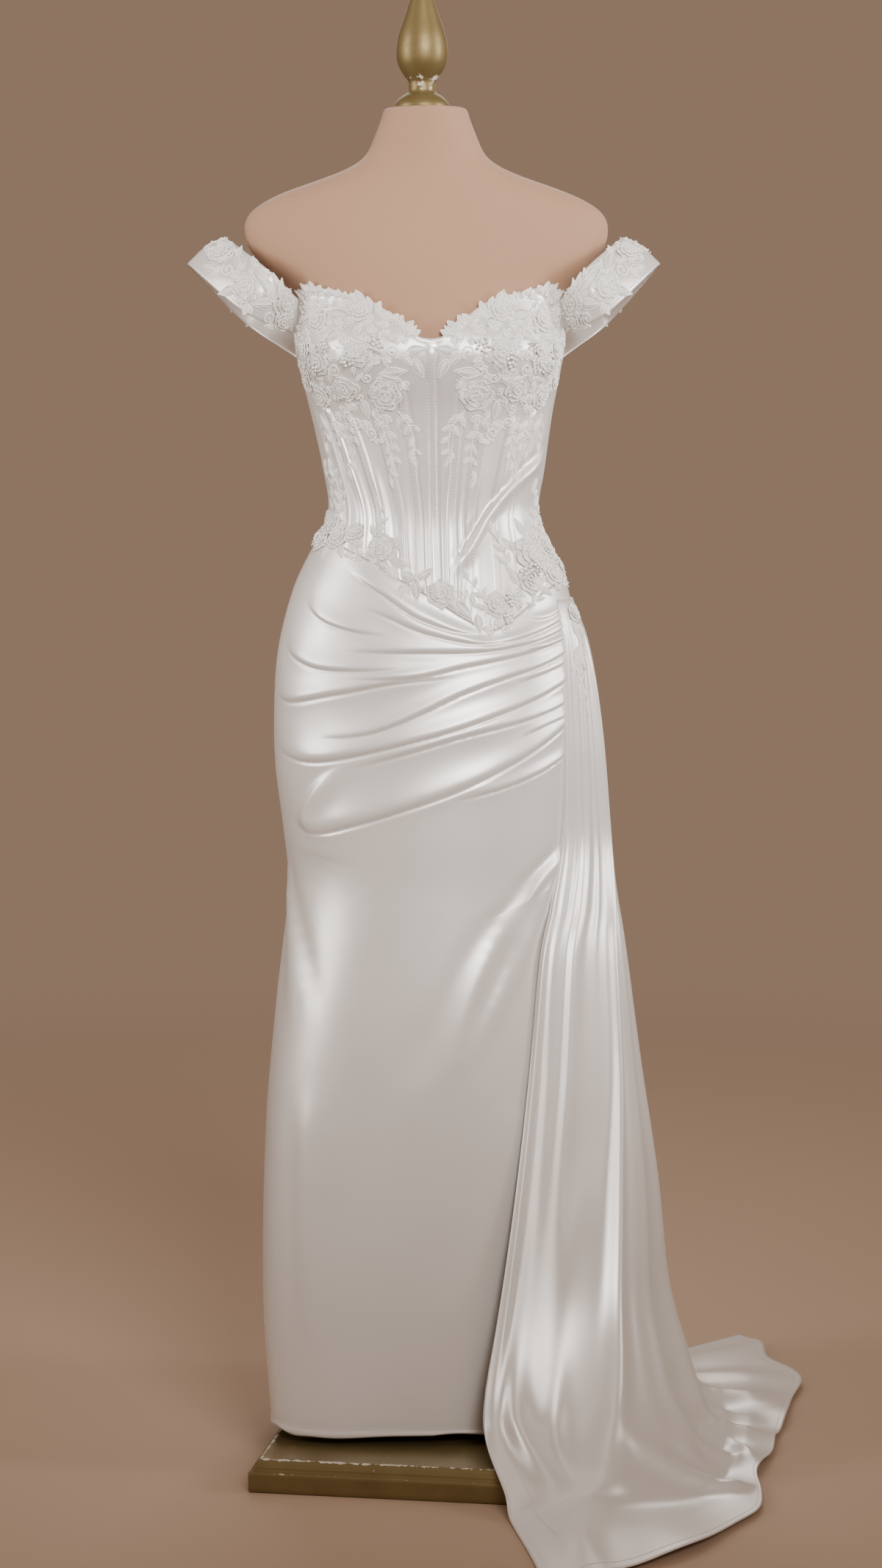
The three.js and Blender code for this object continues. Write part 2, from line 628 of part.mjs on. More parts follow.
// A piece of lace lies over a panel's own columns. Every other column ends in a scallop, and the flowers
// stand out in its outer points over a plain inside.
function laceWall(name, place, columnShares, rows, depth = LACE.scallop) {
  const columnOf = nearestColumn(columnShares);
  const surface = (outside) => (u, v) => {
    const scallop = depth * (0.5 + 0.5 * Math.cos(Math.PI * columnOf(u)));
    const up = v * (1 - scallop) + scallop;
    const flower = Math.sin(Math.PI * v) * (0.65 + 0.35 * Math.cos(Math.PI * (columnOf(u) + rows * v)));
    return place(u, up, outside ? LACE.thick + LACE.relief * flower : 0);
  };
  return lay(name, wall(surface(true), surface(false), columnShares, evenly(rows)), lace);
}

function cupLace(name, side) {
  const covered = cupStations.filter((angle) => angle > CUP_LACE.inner && angle < CUP_LACE.outer);
  const angles = [CUP_LACE.inner, ...covered].map((angle) => side * angle);
  if (side < 0) angles.reverse();
  const shares = sharesOf(angles);
  const columnOf = nearestColumn(shares);
  const place = (u, v, out) => {
    const angle = lerp(angles[0], angles.at(-1), u);
    const length = columnOf(u) % 2 === 0 ? 1 : CUP_LACE.short;
    const spray = CUP_LACE.spray * length * bump(Math.abs(angle) - CUP_LACE.middle, CUP_LACE.spread);
    const low = underwire(angle) - CUP_LACE.hang - spray;
    const pastSleeve = Math.max(0, Math.abs(angle) - CUP_LACE.sleeveAngle);
    const besideSleeve = CUP_LACE.sleeveTop - pastSleeve * CUP_LACE.sleeveFall;
    const high = Math.min(neckline(angle) + CUP_LACE.above * length, besideSleeve);
    return onBodice(angle, lerp(low, high, v), CUP_LACE.off + out);
  };
  return laceWall(name, place, shares, 9, 0);
}

function waistLace({ name, from, to }) {
  const climb = tableCurve(WAIST_LACE, "angle", "rise");
  const hang = tableCurve(WAIST_LACE, "angle", "drop");
  const angles = waistAngles.filter((angle) => angle > from - 0.1 && angle < to + 0.1);
  angles[0] += LACE_SEAM_TURN;
  angles[angles.length - 1] -= LACE_SEAM_TURN;
  const shares = sharesOf(angles);
  const place = (u, v, out) => {
    const angle = lerp(angles[0], angles.at(-1), u);
    return onBodice(angle, waistline(angle) + lerp(-hang(angle), climb(angle), v), LACE.off + out);
  };
  return laceWall(name, place, shares, 4);
}

function sleeveLace(name, side) {
  const { firstColumn, lastColumn, edge, top } = SLEEVE_LACE;
  const count = lastColumn - firstColumn;
  const shares = evenly(count);
  const place = (u, v, out) => {
    const share = (firstColumn + count * (side > 0 ? u : 1 - u)) / SLEEVE.columns;
    return onSleeve(side, share, lerp(edge, top, v), ON_TOP + out);
  };
  return laceWall(name, place, shares, 4);
}

// The tail of lace runs down over the head of the drape as one long leaf.
function tailLace() {
  const shares = evenly(4);
  const place = (u, v, out) => {
    const half = TAIL_LACE.halfWidth * Math.sin(Math.PI * lerp(0.08, 0.8, v));
    const across = TAIL_LACE.share + lerp(-half, half, u);
    return onDrape(across, lerp(TAIL_LACE.to, TAIL_LACE.from, v), TAIL_LACE.off + out);
  };
  return laceWall("lace_tail", place, shares, 8);
}

// Dress form and stand

function formRing(height, count) {
  const turns = Array.from({ length: count }, (_, i) => (360 * i) / count - 180);
  const gap = lerp(HIP_GAP, FORM_GAP, smoothstep(height, 960, 1040));
  return turns.map((angle) => onFigure(angle, height, -CLOTH - gap));
}

function torso() {
  const lowRows = [TORSO_FOOT, 703, 769, 835, 901, 945, 975, 1000, 1022, 1049, 1075, 1098, 1130, 1163];
  const highRows = [1196, 1228, 1260, 1290, 1313, 1335, 1352, 1366, 1378, 1390, 1404, 1414, 1424];
  const neckRows = [1437, 1450, 1463, 1480, NECK_TOP];
  const heights = [...lowRows, ...highRows, ...neckRows];
  return lay("form_torso", loft(heights.map((height) => formRing(height, 28))), jersey);
}

function finial() {
  const profile = FINIAL_PROFILE.map(({ height, radius }) => new THREE.Vector2(radius, height));
  const mesh = lay("finial", new THREE.LatheGeometry(profile, 18).rotateX(Math.PI / 2), gilt);
  mesh.position.set(FINIAL_SHIFT, 0, NECK_TOP);
  return mesh;
}

function pole() {
  const length = TORSO_FOOT - PLINTH.height - 2 * SEAM_GAP;
  const geometry = new THREE.CylinderGeometry(POLE_RADIUS, POLE_RADIUS, length, 14).rotateX(Math.PI / 2);
  const mesh = lay("stand_pole", geometry, gilt);
  mesh.position.z = PLINTH.height + SEAM_GAP + length / 2;
  return mesh;
}

function plinth() {
  const corners = [[-1, -1], [1, -1], [1, 1], [-1, 1]];
  const profileRings = PLINTH_PROFILE.map(({ height, inset }) =>
    corners.map(([x, y]) => vector([x * (PLINTH.width / 2 - inset), y * (PLINTH.depth / 2 - inset), height])),
  );
  const mesh = lay("plinth", loft(profileRings), gilt);
  mesh.rotation.z = PLINTH.turn;
  return mesh;
}

// Assembly

const dress = new THREE.Group();
dress.position.set(DRESS_AXIS.x, DRESS_AXIS.y, 0);
dress.add(torso(), finial());
BODICE_PANELS.forEach((row) => dress.add(bodicePanel(row)));
dress.add(cup("cup_right", -1), cup("cup_left", 1));
BONES.forEach((row) => dress.add(bone(row)));
dress.add(tuck());
SKIRT_PANELS.forEach((row) => dress.add(skirtPanel(row)));
dress.add(drape());
dress.add(sleeve("sleeve_right", -1), sleeve("sleeve_left", 1));
dress.add(cupLace("lace_cup_right", -1), cupLace("lace_cup_left", 1));
WAIST_PATCHES.forEach((patch) => dress.add(waistLace(patch)));
dress.add(sleeveLace("lace_sleeve_right", -1), sleeveLace("lace_sleeve_left", 1), tailLace());

const root = new THREE.Group();
root.add(dress, pole(), plinth());
export default root;
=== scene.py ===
# %% [markdown]
# # A satin wedding dress on a dress form
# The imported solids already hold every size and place, so this lesson dresses them. Each soft piece is
# built again as a thin shell on the same surface as its solid, only much finer: the satin gets its
# creases, the lace gets its flowers, leaves, cords and beads. The tables of the dress are in millimetres,
# and turn into metres when a mesh is made. The camera, the lights and the node trees are in metres.

import math

import bpy
import numpy as np
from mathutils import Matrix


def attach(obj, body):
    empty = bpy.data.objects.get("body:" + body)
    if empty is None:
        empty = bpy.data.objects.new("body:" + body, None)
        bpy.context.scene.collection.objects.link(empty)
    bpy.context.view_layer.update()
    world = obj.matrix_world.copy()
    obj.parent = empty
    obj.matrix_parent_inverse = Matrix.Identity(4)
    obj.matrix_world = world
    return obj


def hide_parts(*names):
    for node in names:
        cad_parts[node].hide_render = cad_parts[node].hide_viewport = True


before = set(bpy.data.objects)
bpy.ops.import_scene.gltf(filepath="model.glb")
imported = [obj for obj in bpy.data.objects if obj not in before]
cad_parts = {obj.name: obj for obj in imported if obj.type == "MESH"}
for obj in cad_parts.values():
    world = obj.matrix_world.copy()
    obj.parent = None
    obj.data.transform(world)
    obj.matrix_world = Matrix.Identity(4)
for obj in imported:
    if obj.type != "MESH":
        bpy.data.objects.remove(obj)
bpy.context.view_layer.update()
MM = 0.001
print("solids in the frame:", len(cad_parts))

# %% [markdown]
# ## Camera, floor and light
# The picture was taken with a long lens from chest height, looking a little down. A plain pale floor
# fades out into the world's own colour, so that no horizon line crosses the dress and no wall hides it
# from behind. One large soft light stands in front and two tall narrow ones at the sides: satin shows
# its form through the long soft streaks that such lights leave on it. Their beams are narrowed and aimed
# at the chest, so the dress grows darker towards the floor. Two wider lights fill in above and behind.

# %% Camera
LENS = 77.97
LOOKS_DOWN = 5.76
camera_data = bpy.data.cameras.new("camera")
camera_data.sensor_width = 36.0
camera_data.lens = LENS
camera = bpy.data.objects.new("camera", camera_data)
camera.location = (-0.007, -3.785, 1.130)
camera.rotation_euler = (math.radians(90 - LOOKS_DOWN), 0, 0)
bpy.context.scene.collection.objects.link(camera)
bpy.context.scene.camera = camera
print("camera lens:", camera_data.lens, "mm")

# %% Floor and world
STAGE_TONE = (0.46, 0.325, 0.228, 1.0)
WORLD_TONE = (0.54, 0.35, 0.235, 1.0)
WORLD_STRENGTH = 0.52
# how far from the dress, in metres, the floor starts to fade and is gone
FADE_START, FADE_END = 0.7, 3.4


def new_material(name):
    """An empty node material with one Principled shader, and the parts that every finish needs."""
    material = bpy.data.materials.new(name)
    material.use_nodes = True
    tree = material.node_tree
    return material, tree, tree.nodes["Principled BSDF"]


def wire(out, into):
    """Links two sockets of one tree."""
    out.id_data.links.new(out, into)


def set_inputs(made, **values):
    for key, value in values.items():
        made.inputs[key.replace("_", " ")].default_value = value


def node(tree, kind, **settings):
    """One node, with its settings and its unlinked inputs set by name."""
    made = tree.nodes.new(kind)
    for key, value in settings.items():
        label = key.replace("_", " ")
        if label in made.inputs:
            made.inputs[label].default_value = value
        else:
            setattr(made, key, value)
    return made


def floor_material():
    material, tree, shader = new_material("floor_paper")
    set_inputs(shader, Roughness=0.75)
    place = node(tree, "ShaderNodeTexCoord")
    reach = node(tree, "ShaderNodeVectorMath", operation="LENGTH")
    wire(place.outputs["Object"], reach.inputs[0])
    fade = node(tree, "ShaderNodeMapRange", interpolation_type="SMOOTHSTEP")
    set_inputs(fade, From_Min=FADE_START, From_Max=FADE_END, To_Min=1.0, To_Max=0.0)
    wire(reach.outputs["Value"], fade.inputs["Value"])
    wire(fade.outputs["Result"], shader.inputs["Alpha"])
    cloud = node(tree, "ShaderNodeTexNoise", Scale=1.7, Detail=3.0)
    wire(place.outputs["Object"], cloud.inputs["Vector"])
    tone = node(tree, "ShaderNodeMix", data_type="RGBA")
    tone.inputs[6].default_value = tuple(0.96 * part for part in STAGE_TONE[:3]) + (1.0,)
    tone.inputs[7].default_value = tuple(1.03 * part for part in STAGE_TONE[:3]) + (1.0,)
    wire(cloud.outputs["Fac"], tone.inputs[0])
    wire(tone.outputs[2], shader.inputs["Base Color"])
    return material


floor_mesh = bpy.data.meshes.new("floor")
floor_mesh.from_pydata([(-6, -6, 0), (6, -6, 0), (6, 6, 0), (-6, 6, 0)], [], [(0, 1, 2, 3)])
floor_mesh.materials.append(floor_material())
floor = bpy.data.objects.new("floor", floor_mesh)
bpy.context.scene.collection.objects.link(floor)

world = bpy.data.worlds.new("studio")
world.use_nodes = True
set_inputs(world.node_tree.nodes["Background"], Color=WORLD_TONE, Strength=WORLD_STRENGTH)
bpy.context.scene.world = world
print("floor and world tones:", STAGE_TONE[:3], WORLD_TONE[:3])

# %% Soft lights
# columns: name, place, aim, width, height, watts, spread in degrees
SOFT_LIGHTS = (
    ("soft_front", (0.75, -2.85, 2.25), (0.0, 0.0, 1.37), 1.2, 1.4, 14.8, 54),
    ("strip_left", (-2.2, -0.75, 1.75), (0.0, 0.0, 1.40), 0.5, 1.7, 7.4, 64),
    ("strip_right", (2.3, -0.45, 1.8), (0.0, 0.0, 1.37), 0.5, 1.6, 6.3, 52),
    ("soft_top", (0.0, -0.9, 3.3), (0.0, 0.0, 1.0), 1.8, 1.2, 5.0, 180),
    ("soft_back", (0.0, 3.2, 2.6), (0.0, 0.0, 1.1), 2.2, 1.6, 20, 125),
)
LIGHT_COLOUR = (1.0, 0.965, 0.93)


def soft_light(name, place, aim, width, height, watts, fan):
    data = bpy.data.lights.new(name, "AREA")
    data.shape = "RECTANGLE"
    data.size = width
    data.size_y = height
    data.energy = watts
    data.spread = math.radians(fan)
    data.color = LIGHT_COLOUR
    light = bpy.data.objects.new(name, data)
    light.location = place
    towards = np.array(aim) - np.array(place)
    level = math.hypot(towards[0], towards[1])
    heading = math.atan2(towards[1], towards[0]) - math.pi / 2
    light.rotation_euler = (math.atan2(level, -towards[2]), 0, heading)
    bpy.context.scene.collection.objects.link(light)


for row in SOFT_LIGHTS:
    soft_light(*row)
print("lights:", [row[0] for row in SOFT_LIGHTS])

# %% [markdown]
# ## The figure that everything lies on
# A dress is cut to a body, so one table of level sections drives the form, the bodice and the skirt. A
# section is two half widths and two depths, which is enough for a torso seen in clothes. Smooth curves
# through the table give any height between its rows. The same numbers drive the solids, so the shells
# land on them without any fitting.

# %% Curves through tables


def smooth_curve(keys, values):
    """A smooth curve through the rows of a table, flat past its ends."""
    order = np.argsort(keys)
    at = np.asarray(keys, float)[order]
    value = np.asarray(values, float)[order]
    steps = np.arange(len(at))
    before = np.maximum(steps - 1, 0)
    after = np.minimum(steps + 1, len(at) - 1)
    slope = (value[after] - value[before]) / (at[after] - at[before])

    def curve(x):
        x = np.clip(np.asarray(x, float), at[0], at[-1])
        i = np.clip(np.searchsorted(at, x, side="right") - 1, 0, len(at) - 2)
        span = at[i + 1] - at[i]
        t = (x - at[i]) / span
        rest = 1 - t
        ends = value[i] * rest**2 * (1 + 2 * t) + value[i + 1] * t**2 * (3 - 2 * t)
        return ends + span * t * rest * (slope[i] * rest - slope[i + 1] * t)

    return curve


def table_curve(rows, column):
    return smooth_curve([row[0] for row in rows], [row[column] for row in rows])


def lerp(a, b, t):
    return a + (b - a) * t


def smoothstep(x, low, high):
    t = np.clip((np.asarray(x, float) - low) / (high - low), 0, 1)
    return t * t * (3 - 2 * t)


def bump(distance, width):
    return np.exp(-((np.asarray(distance, float) / width) ** 2))


print("halfway between 1 and 3:", float(smooth_curve([0, 1], [1, 3])(0.5)))

# %% Sections of the figure
# columns: height, half width right, half width left, depth front, depth back, squareness of the right front
FIGURE = (
    (1495, 55, 43, 46, 52, 2),
    (1463, 67, 55, 48, 56, 2),
    (1437, 82, 70, 50, 62, 2),
    (1420, 119, 106, 53, 68, 2),
    (1404, 167, 154, 57, 74, 2),
    (1385, 201, 190, 62, 80, 2),
    (1366, 211, 200, 68, 84, 2),
    (1335, 201, 192, 78, 90, 2),
    (1290, 158, 154, 95, 95, 2),
    (1228, 150, 147, 112, 95, 2),
    (1163, 134, 135, 99, 88, 2),
    (1098, 120, 126, 91, 81, 2),
    (1049, 115, 120, 88, 81, 2),
    (1000, 139, 140, 93, 94, 2),
    (967, 154, 153, 98, 105, 2),
    (901, 171, 164, 106, 121, 2),
    (835, 176, 165, 111, 126, 2),
    (769, 175, 163, 114, 124, 2),
    (703, 167, 160, 117, 120, 2),
    (636, 161, 160, 121, 120, 2),
    (502, 175, 174, 138, 137, 2.5),
    (367, 186, 186, 152, 154, 3.3),
    (179, 188, 188, 166, 172, 4.6),
    (46, 178, 182, 174, 180, 5.5),
)
DRESS_AXIS = np.array((-18.0, 15.0, 0.0))


def evened(curve, low, high, reach=16.0, grain=0.5):
    """The same curve with its bends evened out, because gloss shows every change of curvature."""
    kernel = np.hanning(2 * int(reach / grain) + 3)
    kernel = kernel / kernel.sum()
    side = (len(kernel) - 1) // 2 * grain
    at = np.arange(low, high + grain, grain)
    value = np.convolve(curve(np.arange(low - side, high + side + 1.5 * grain, grain)), kernel, "valid")
    value = value[: len(at)]
    return lambda x: np.interp(x, at, value)


HALF_RIGHT, HALF_LEFT, DEPTH_FRONT, DEPTH_BACK, SQUARE = (
    evened(table_curve(FIGURE, k), FIGURE[-1][0], FIGURE[0][0]) for k in range(1, 6)
)


def on_figure(angle, height, out=0.0):
    """A point of the plain figure: degrees from the front centre towards the wearer's left, and a height."""
    angle, height, out = np.broadcast_arrays(*(np.asarray(v, float) for v in (angle, height, out)))
    turn = np.radians(angle)
    sideways = np.sin(turn)
    forwards = np.cos(turn)
    half = np.where(sideways > 0, HALF_LEFT(height), HALF_RIGHT(height))
    depth = np.where(forwards > 0, DEPTH_FRONT(height), DEPTH_BACK(height))
    power = np.where((sideways < 0) & (forwards > 0), 2 / SQUARE(height), 1.0)
    x = np.sign(sideways) * np.abs(sideways) ** power
    y = np.sign(forwards) * np.abs(forwards) ** power
    return np.stack([x * (half + out), -y * (depth + out), height], -1) + DRESS_AXIS


def per_degree(angle, height):
    """Millimetres along the figure for one degree of angle."""
    return np.linalg.norm(on_figure(angle + 0.5, height) - on_figure(angle - 0.5, height), axis=-1)


print("waist, front centre:", np.round(on_figure(0, 1049), 1))

# %% [markdown]
# ## Making a shell of cloth
# Cloth is a sheet with a little thickness, and a printed or exported part has to be closed. So a shell
# is two grids of points, one outside and one inside, joined round their rims. Writing the grid keeps
# full control of every crease, where a thickness modifier would pinch at the folds. The map from
# the grid to metres is kept as a UV map, because the weave has to follow the cloth and not the room.

# %% Shells, and meshes in general


def mesh_object(name, points, faces, material, flat_map=None):
    mesh = bpy.data.meshes.new(name)
    mesh.from_pydata(np.asarray(points) * MM, [], [tuple(face) for face in faces])
    mesh.materials.append(material)
    mesh.shade_smooth()
    if flat_map is not None:
        layer = mesh.uv_layers.new(name="cloth")
        layer.data.foreach_set("uv", np.asarray(flat_map, np.float32).ravel())
    mesh.validate()
    made = bpy.data.objects.new(name, mesh)
    bpy.context.scene.collection.objects.link(made)
    return made


# how much of the cloth's map a rim takes, in metres
RIM = 0.002


def shell(name, outer, inner, material, round_closed):
    """A closed wall between two grids of points, rows from the bottom up and columns to the wearer's left."""
    rows, columns = outer.shape[:2]
    inner_rows = inner.shape[0]
    points = np.concatenate([outer.reshape(-1, 3), inner.reshape(-1, 3)])
    inside = rows * columns
    here = np.arange(columns if round_closed else columns - 1)
    beside = (here + 1) % columns
    width = np.linalg.norm(np.diff(outer, axis=1), axis=-1).mean(0)
    across = np.concatenate([[0], np.cumsum(np.append(width, width.mean()))]) * MM
    length = np.linalg.norm(np.diff(outer, axis=0), axis=-1).mean(1)
    along = np.concatenate([[0], np.cumsum(length)]) * MM
    inner_along = np.linspace(0, along[-1], inner_rows)
    faces = []
    flat = []

    def band(low, high, low_at, high_at):
        faces.append(np.stack([low + here, low + beside, high + beside, high + here], -1))
        left, right = across[here], across[here + 1]
        low_at, high_at = np.full_like(left, low_at), np.full_like(left, high_at)
        corners = ((left, low_at), (right, low_at), (right, high_at), (left, high_at))
        flat.append(np.stack([np.stack(corner, -1) for corner in corners], 1))

    for j in range(rows - 1):
        band(j * columns, (j + 1) * columns, along[j], along[j + 1])
    for j in range(inner_rows - 1):
        band(inside + (j + 1) * columns, inside + j * columns, inner_along[j + 1], inner_along[j])
    band(inside, 0, 0.0, RIM)
    band((rows - 1) * columns, inside + (inner_rows - 1) * columns, along[-1], along[-1] + RIM)
    if not round_closed:
        up = np.arange(rows - 1) * columns
        for column, order in ((0, (0, 1, 3, 2)), (columns - 1, (2, 3, 1, 0))):
            out = up + column
            corners = (out, out + columns, out + inside, out + columns + inside)
            faces.append(np.stack([corners[k] for k in order], -1))
            zero = np.zeros((rows - 1, 4))
            flat.append(np.stack([across[column] + zero, along[:-1, None] + zero], -1))
    return mesh_object(name, points, np.concatenate(faces), material, np.concatenate(flat).reshape(-1, 2))


def outward(surface, u, v, step):
    """The outward direction of a surface whose u runs to the wearer's left and whose v runs up."""
    along = surface(u + step[0], v) - surface(u - step[0], v)
    up = surface(u, v + step[1]) - surface(u, v - step[1])
    normal = np.cross(along, up)
    return normal / np.maximum(np.linalg.norm(normal, axis=-1, keepdims=True), 1e-9)


def triangles(piece):
    return sum(len(face.vertices) - 2 for face in piece.data.polygons)


print("outward at the front of the waist:", np.round(outward(on_figure, 0.0, 1049.0, (0.5, 0.5)), 2))

# %% [markdown]
# ## Finishes
# White satin is hardly ever white: it is a pale ground whose long threads lie side by side, so light
# runs along it in streaks. That takes a smooth, slightly sheeny shader with fine thread relief. Lace
# thread is duller and warmer, beads and sequins are small and bright. The form wears a knitted jersey,
# and the stand has old gold paint that is chipped down to its pale ground along the edges. Cloud-like
# unevenness is shared by all of them, so it is built once as a node group.

# %% Shared node groups


def shader_group(name, inputs, outputs):
    group = bpy.data.node_groups.new(name, "ShaderNodeTree")
    for label, kind, value in inputs:
        socket = group.interface.new_socket(label, in_out="INPUT", socket_type=kind)
        if value is not None:
            socket.default_value = value
    for label, kind in outputs:
        group.interface.new_socket(label, in_out="OUTPUT", socket_type=kind)
    return group, group.nodes.new("NodeGroupInput"), group.nodes.new("NodeGroupOutput")


def unevenness_group():
    """Soft clouds and fine grain over a surface, each from 0 to 1."""
    inputs = (
        ("Vector", "NodeSocketVector", None),
        ("Cloud Scale", "NodeSocketFloat", 9.0),
        ("Grain Scale", "NodeSocketFloat", 900.0),
    )
    group, given, result = shader_group(
        "unevenness", inputs, (("Cloud", "NodeSocketFloat"), ("Grain", "NodeSocketFloat"))
    )
    for label, detail in (("Cloud", 4.0), ("Grain", 2.0)):
        noise = node(group, "ShaderNodeTexNoise", Detail=detail)
        wire(given.outputs["Vector"], noise.inputs["Vector"])
        wire(given.outputs[label + " Scale"], noise.inputs["Scale"])
        wire(noise.outputs["Fac"], result.inputs[label])
    return group


def thread_group():
    """Relief of cloth: long warp threads crossed by a finer weft, from the cloth's own map."""
    inputs = (
        ("Vector", "NodeSocketVector", None),
        ("Warp Scale", "NodeSocketFloat", 520.0),
        ("Weft Scale", "NodeSocketFloat", 520.0),
        ("Weft Share", "NodeSocketFloat", 0.3),
    )
    group, given, result = shader_group("threads", inputs, (("Height", "NodeSocketFloat"),))
    waves = []
    for label, direction in (("Warp", "X"), ("Weft", "Y")):
        wave = node(group, "ShaderNodeTexWave", bands_direction=direction, Distortion=0.6, Detail=1.0)
        wire(given.outputs["Vector"], wave.inputs["Vector"])
        wire(given.outputs[label + " Scale"], wave.inputs["Scale"])
        waves.append(wave)
    mixed = node(group, "ShaderNodeMix", data_type="FLOAT")
    wire(given.outputs["Weft Share"], mixed.inputs[0])
    wire(waves[0].outputs["Fac"], mixed.inputs[2])
    wire(waves[1].outputs["Fac"], mixed.inputs[3])
    wire(mixed.outputs[0], result.inputs["Height"])
    return group


UNEVENNESS = unevenness_group()
THREADS = thread_group()
print("shared groups:", UNEVENNESS.name, THREADS.name)

# %% Helpers that wire a finish together


def place_group(tree, group, vector, **values):
    made = tree.nodes.new("ShaderNodeGroup")
    made.node_tree = group
    wire(vector, made.inputs["Vector"])
    set_inputs(made, **values)
    return made


def blend_colours(tree, share, low, high):
    mix = node(tree, "ShaderNodeMix", data_type="RGBA")
    for socket, colour in ((mix.inputs[6], low), (mix.inputs[7], high)):
        if isinstance(colour, tuple):
            socket.default_value = colour + (1.0,)
        else:
            wire(colour, socket)
    wire(share, mix.inputs[0])
    return mix.outputs[2]


def spread(tree, value, low, high, from_low=0.0, from_high=1.0):
    span = node(tree, "ShaderNodeMapRange", From_Min=from_low, From_Max=from_high, To_Min=low, To_Max=high)
    wire(value, span.inputs["Value"])
    return span.outputs["Result"]


def relief(tree, shader, height, strength, distance):
    raised = node(tree, "ShaderNodeBump", Strength=strength, Distance=distance)
    wire(height, raised.inputs["Height"])
    wire(raised.outputs["Normal"], shader.inputs["Normal"])


print("finish helpers:", place_group.__name__, blend_colours.__name__, spread.__name__, relief.__name__)

# %% Satin, lace thread, beads and sequins


def satin_finish():
    """White satin. The attribute 'sheer' is 1 where only a thin layer of it covers the lining."""
    material, tree, shader = new_material("ivory_satin")
    place = node(tree, "ShaderNodeTexCoord")
    even = place_group(tree, UNEVENNESS, place.outputs["Object"], Cloud_Scale=7.0, Grain_Scale=420.0)
    weave = {"Warp_Scale": 560.0, "Weft_Scale": 430.0, "Weft_Share": 0.25}
    threads = place_group(tree, THREADS, place.outputs["UV"], **weave)
    sheer = node(tree, "ShaderNodeAttribute", attribute_name="sheer")
    full = blend_colours(tree, even.outputs["Cloud"], (0.78, 0.755, 0.735), (0.84, 0.82, 0.80))
    colour = blend_colours(tree, sheer.outputs["Fac"], full, (0.84, 0.815, 0.80))
    wire(colour, shader.inputs["Base Color"])
    rough = spread(tree, even.outputs["Cloud"], 0.29, 0.36, 0.3, 0.7)
    wire(rough, shader.inputs["Roughness"])
    relief(tree, shader, threads.outputs["Height"], 0.10, 0.0002)
    set_inputs(shader, Metallic=0.34, Specular_IOR_Level=0.7, Anisotropic=0.5)
    set_inputs(shader, Sheen_Weight=0.12, Sheen_Roughness=0.4)
    return material


def lace_finish():
    """Embroidery. The attribute 'corded' is 1 on the bright outline cords and 0 on the filling, whose darker
    tone is partly its duller thread and partly painted shade among the raised lace.
    """
    material, tree, shader = new_material("lace_thread")
    place = node(tree, "ShaderNodeTexCoord")
    even = place_group(tree, UNEVENNESS, place.outputs["Object"], Cloud_Scale=60.0, Grain_Scale=1500.0)
    corded = node(tree, "ShaderNodeAttribute", attribute_name="corded")
    # the filling is darker than the cords: partly the thread's own duller tone, partly painted shade among
    # the raised cords and petals
    dull_thread_and_painted_shade = blend_colours(tree, even.outputs["Cloud"], (0.52, 0.49, 0.455), (0.86, 0.84, 0.82))
    colour = blend_colours(tree, corded.outputs["Fac"], dull_thread_and_painted_shade, (0.97, 0.96, 0.94))
    wire(colour, shader.inputs["Base Color"])
    wire(spread(tree, even.outputs["Grain"], 0.3, 0.5), shader.inputs["Roughness"])
    relief(tree, shader, even.outputs["Grain"], 0.35, 0.0006)
    set_inputs(shader, Sheen_Weight=0.2)
    return material


def bead_finish(name, low, high, rough, coat, metal=0.0):
    material, tree, shader = new_material(name)
    place = node(tree, "ShaderNodeTexCoord")
    even = place_group(tree, UNEVENNESS, place.outputs["Object"], Cloud_Scale=140.0, Grain_Scale=2500.0)
    wire(blend_colours(tree, even.outputs["Cloud"], low, high), shader.inputs["Base Color"])
    wire(spread(tree, even.outputs["Grain"], rough, rough + 0.1), shader.inputs["Roughness"])
    set_inputs(shader, Specular_IOR_Level=0.8, Metallic=metal, Coat_Weight=coat, Coat_Roughness=0.06)
    return material


SATIN = satin_finish()
LACE = lace_finish()
BEAD = bead_finish("pearl_bead", (0.76, 0.74, 0.71), (0.95, 0.94, 0.92), 0.10, 0.8)
SEQUIN = bead_finish("clear_sequin", (0.90, 0.90, 0.90), (0.99, 0.98, 0.97), 0.12, 1.0, 0.15)
print("finishes:", SATIN.name, LACE.name, BEAD.name, SEQUIN.name)

# %% Jersey and old gold


def jersey_finish():
    material, tree, shader = new_material("skin_jersey")
    place = node(tree, "ShaderNodeTexCoord")
    even = place_group(tree, UNEVENNESS, place.outputs["Object"], Cloud_Scale=6.0, Grain_Scale=650.0)
    knit = place_group(tree, THREADS, place.outputs["UV"], Warp_Scale=260.0, Weft_Scale=340.0, Weft_Share=0.5)
    colour = blend_colours(tree, even.outputs["Cloud"], (0.36, 0.200, 0.118), (0.415, 0.243, 0.148))
    fine = blend_colours(tree, spread(tree, even.outputs["Grain"], 0.0, 0.35), colour, (0.32, 0.183, 0.11))
    wire(fine, shader.inputs["Base Color"])
    wire(spread(tree, even.outputs["Grain"], 0.62, 0.85), shader.inputs["Roughness"])
    relief(tree, shader, knit.outputs["Height"], 0.22, 0.0004)
    set_inputs(shader, Sheen_Weight=0.18, Sheen_Roughness=0.5)
    return material


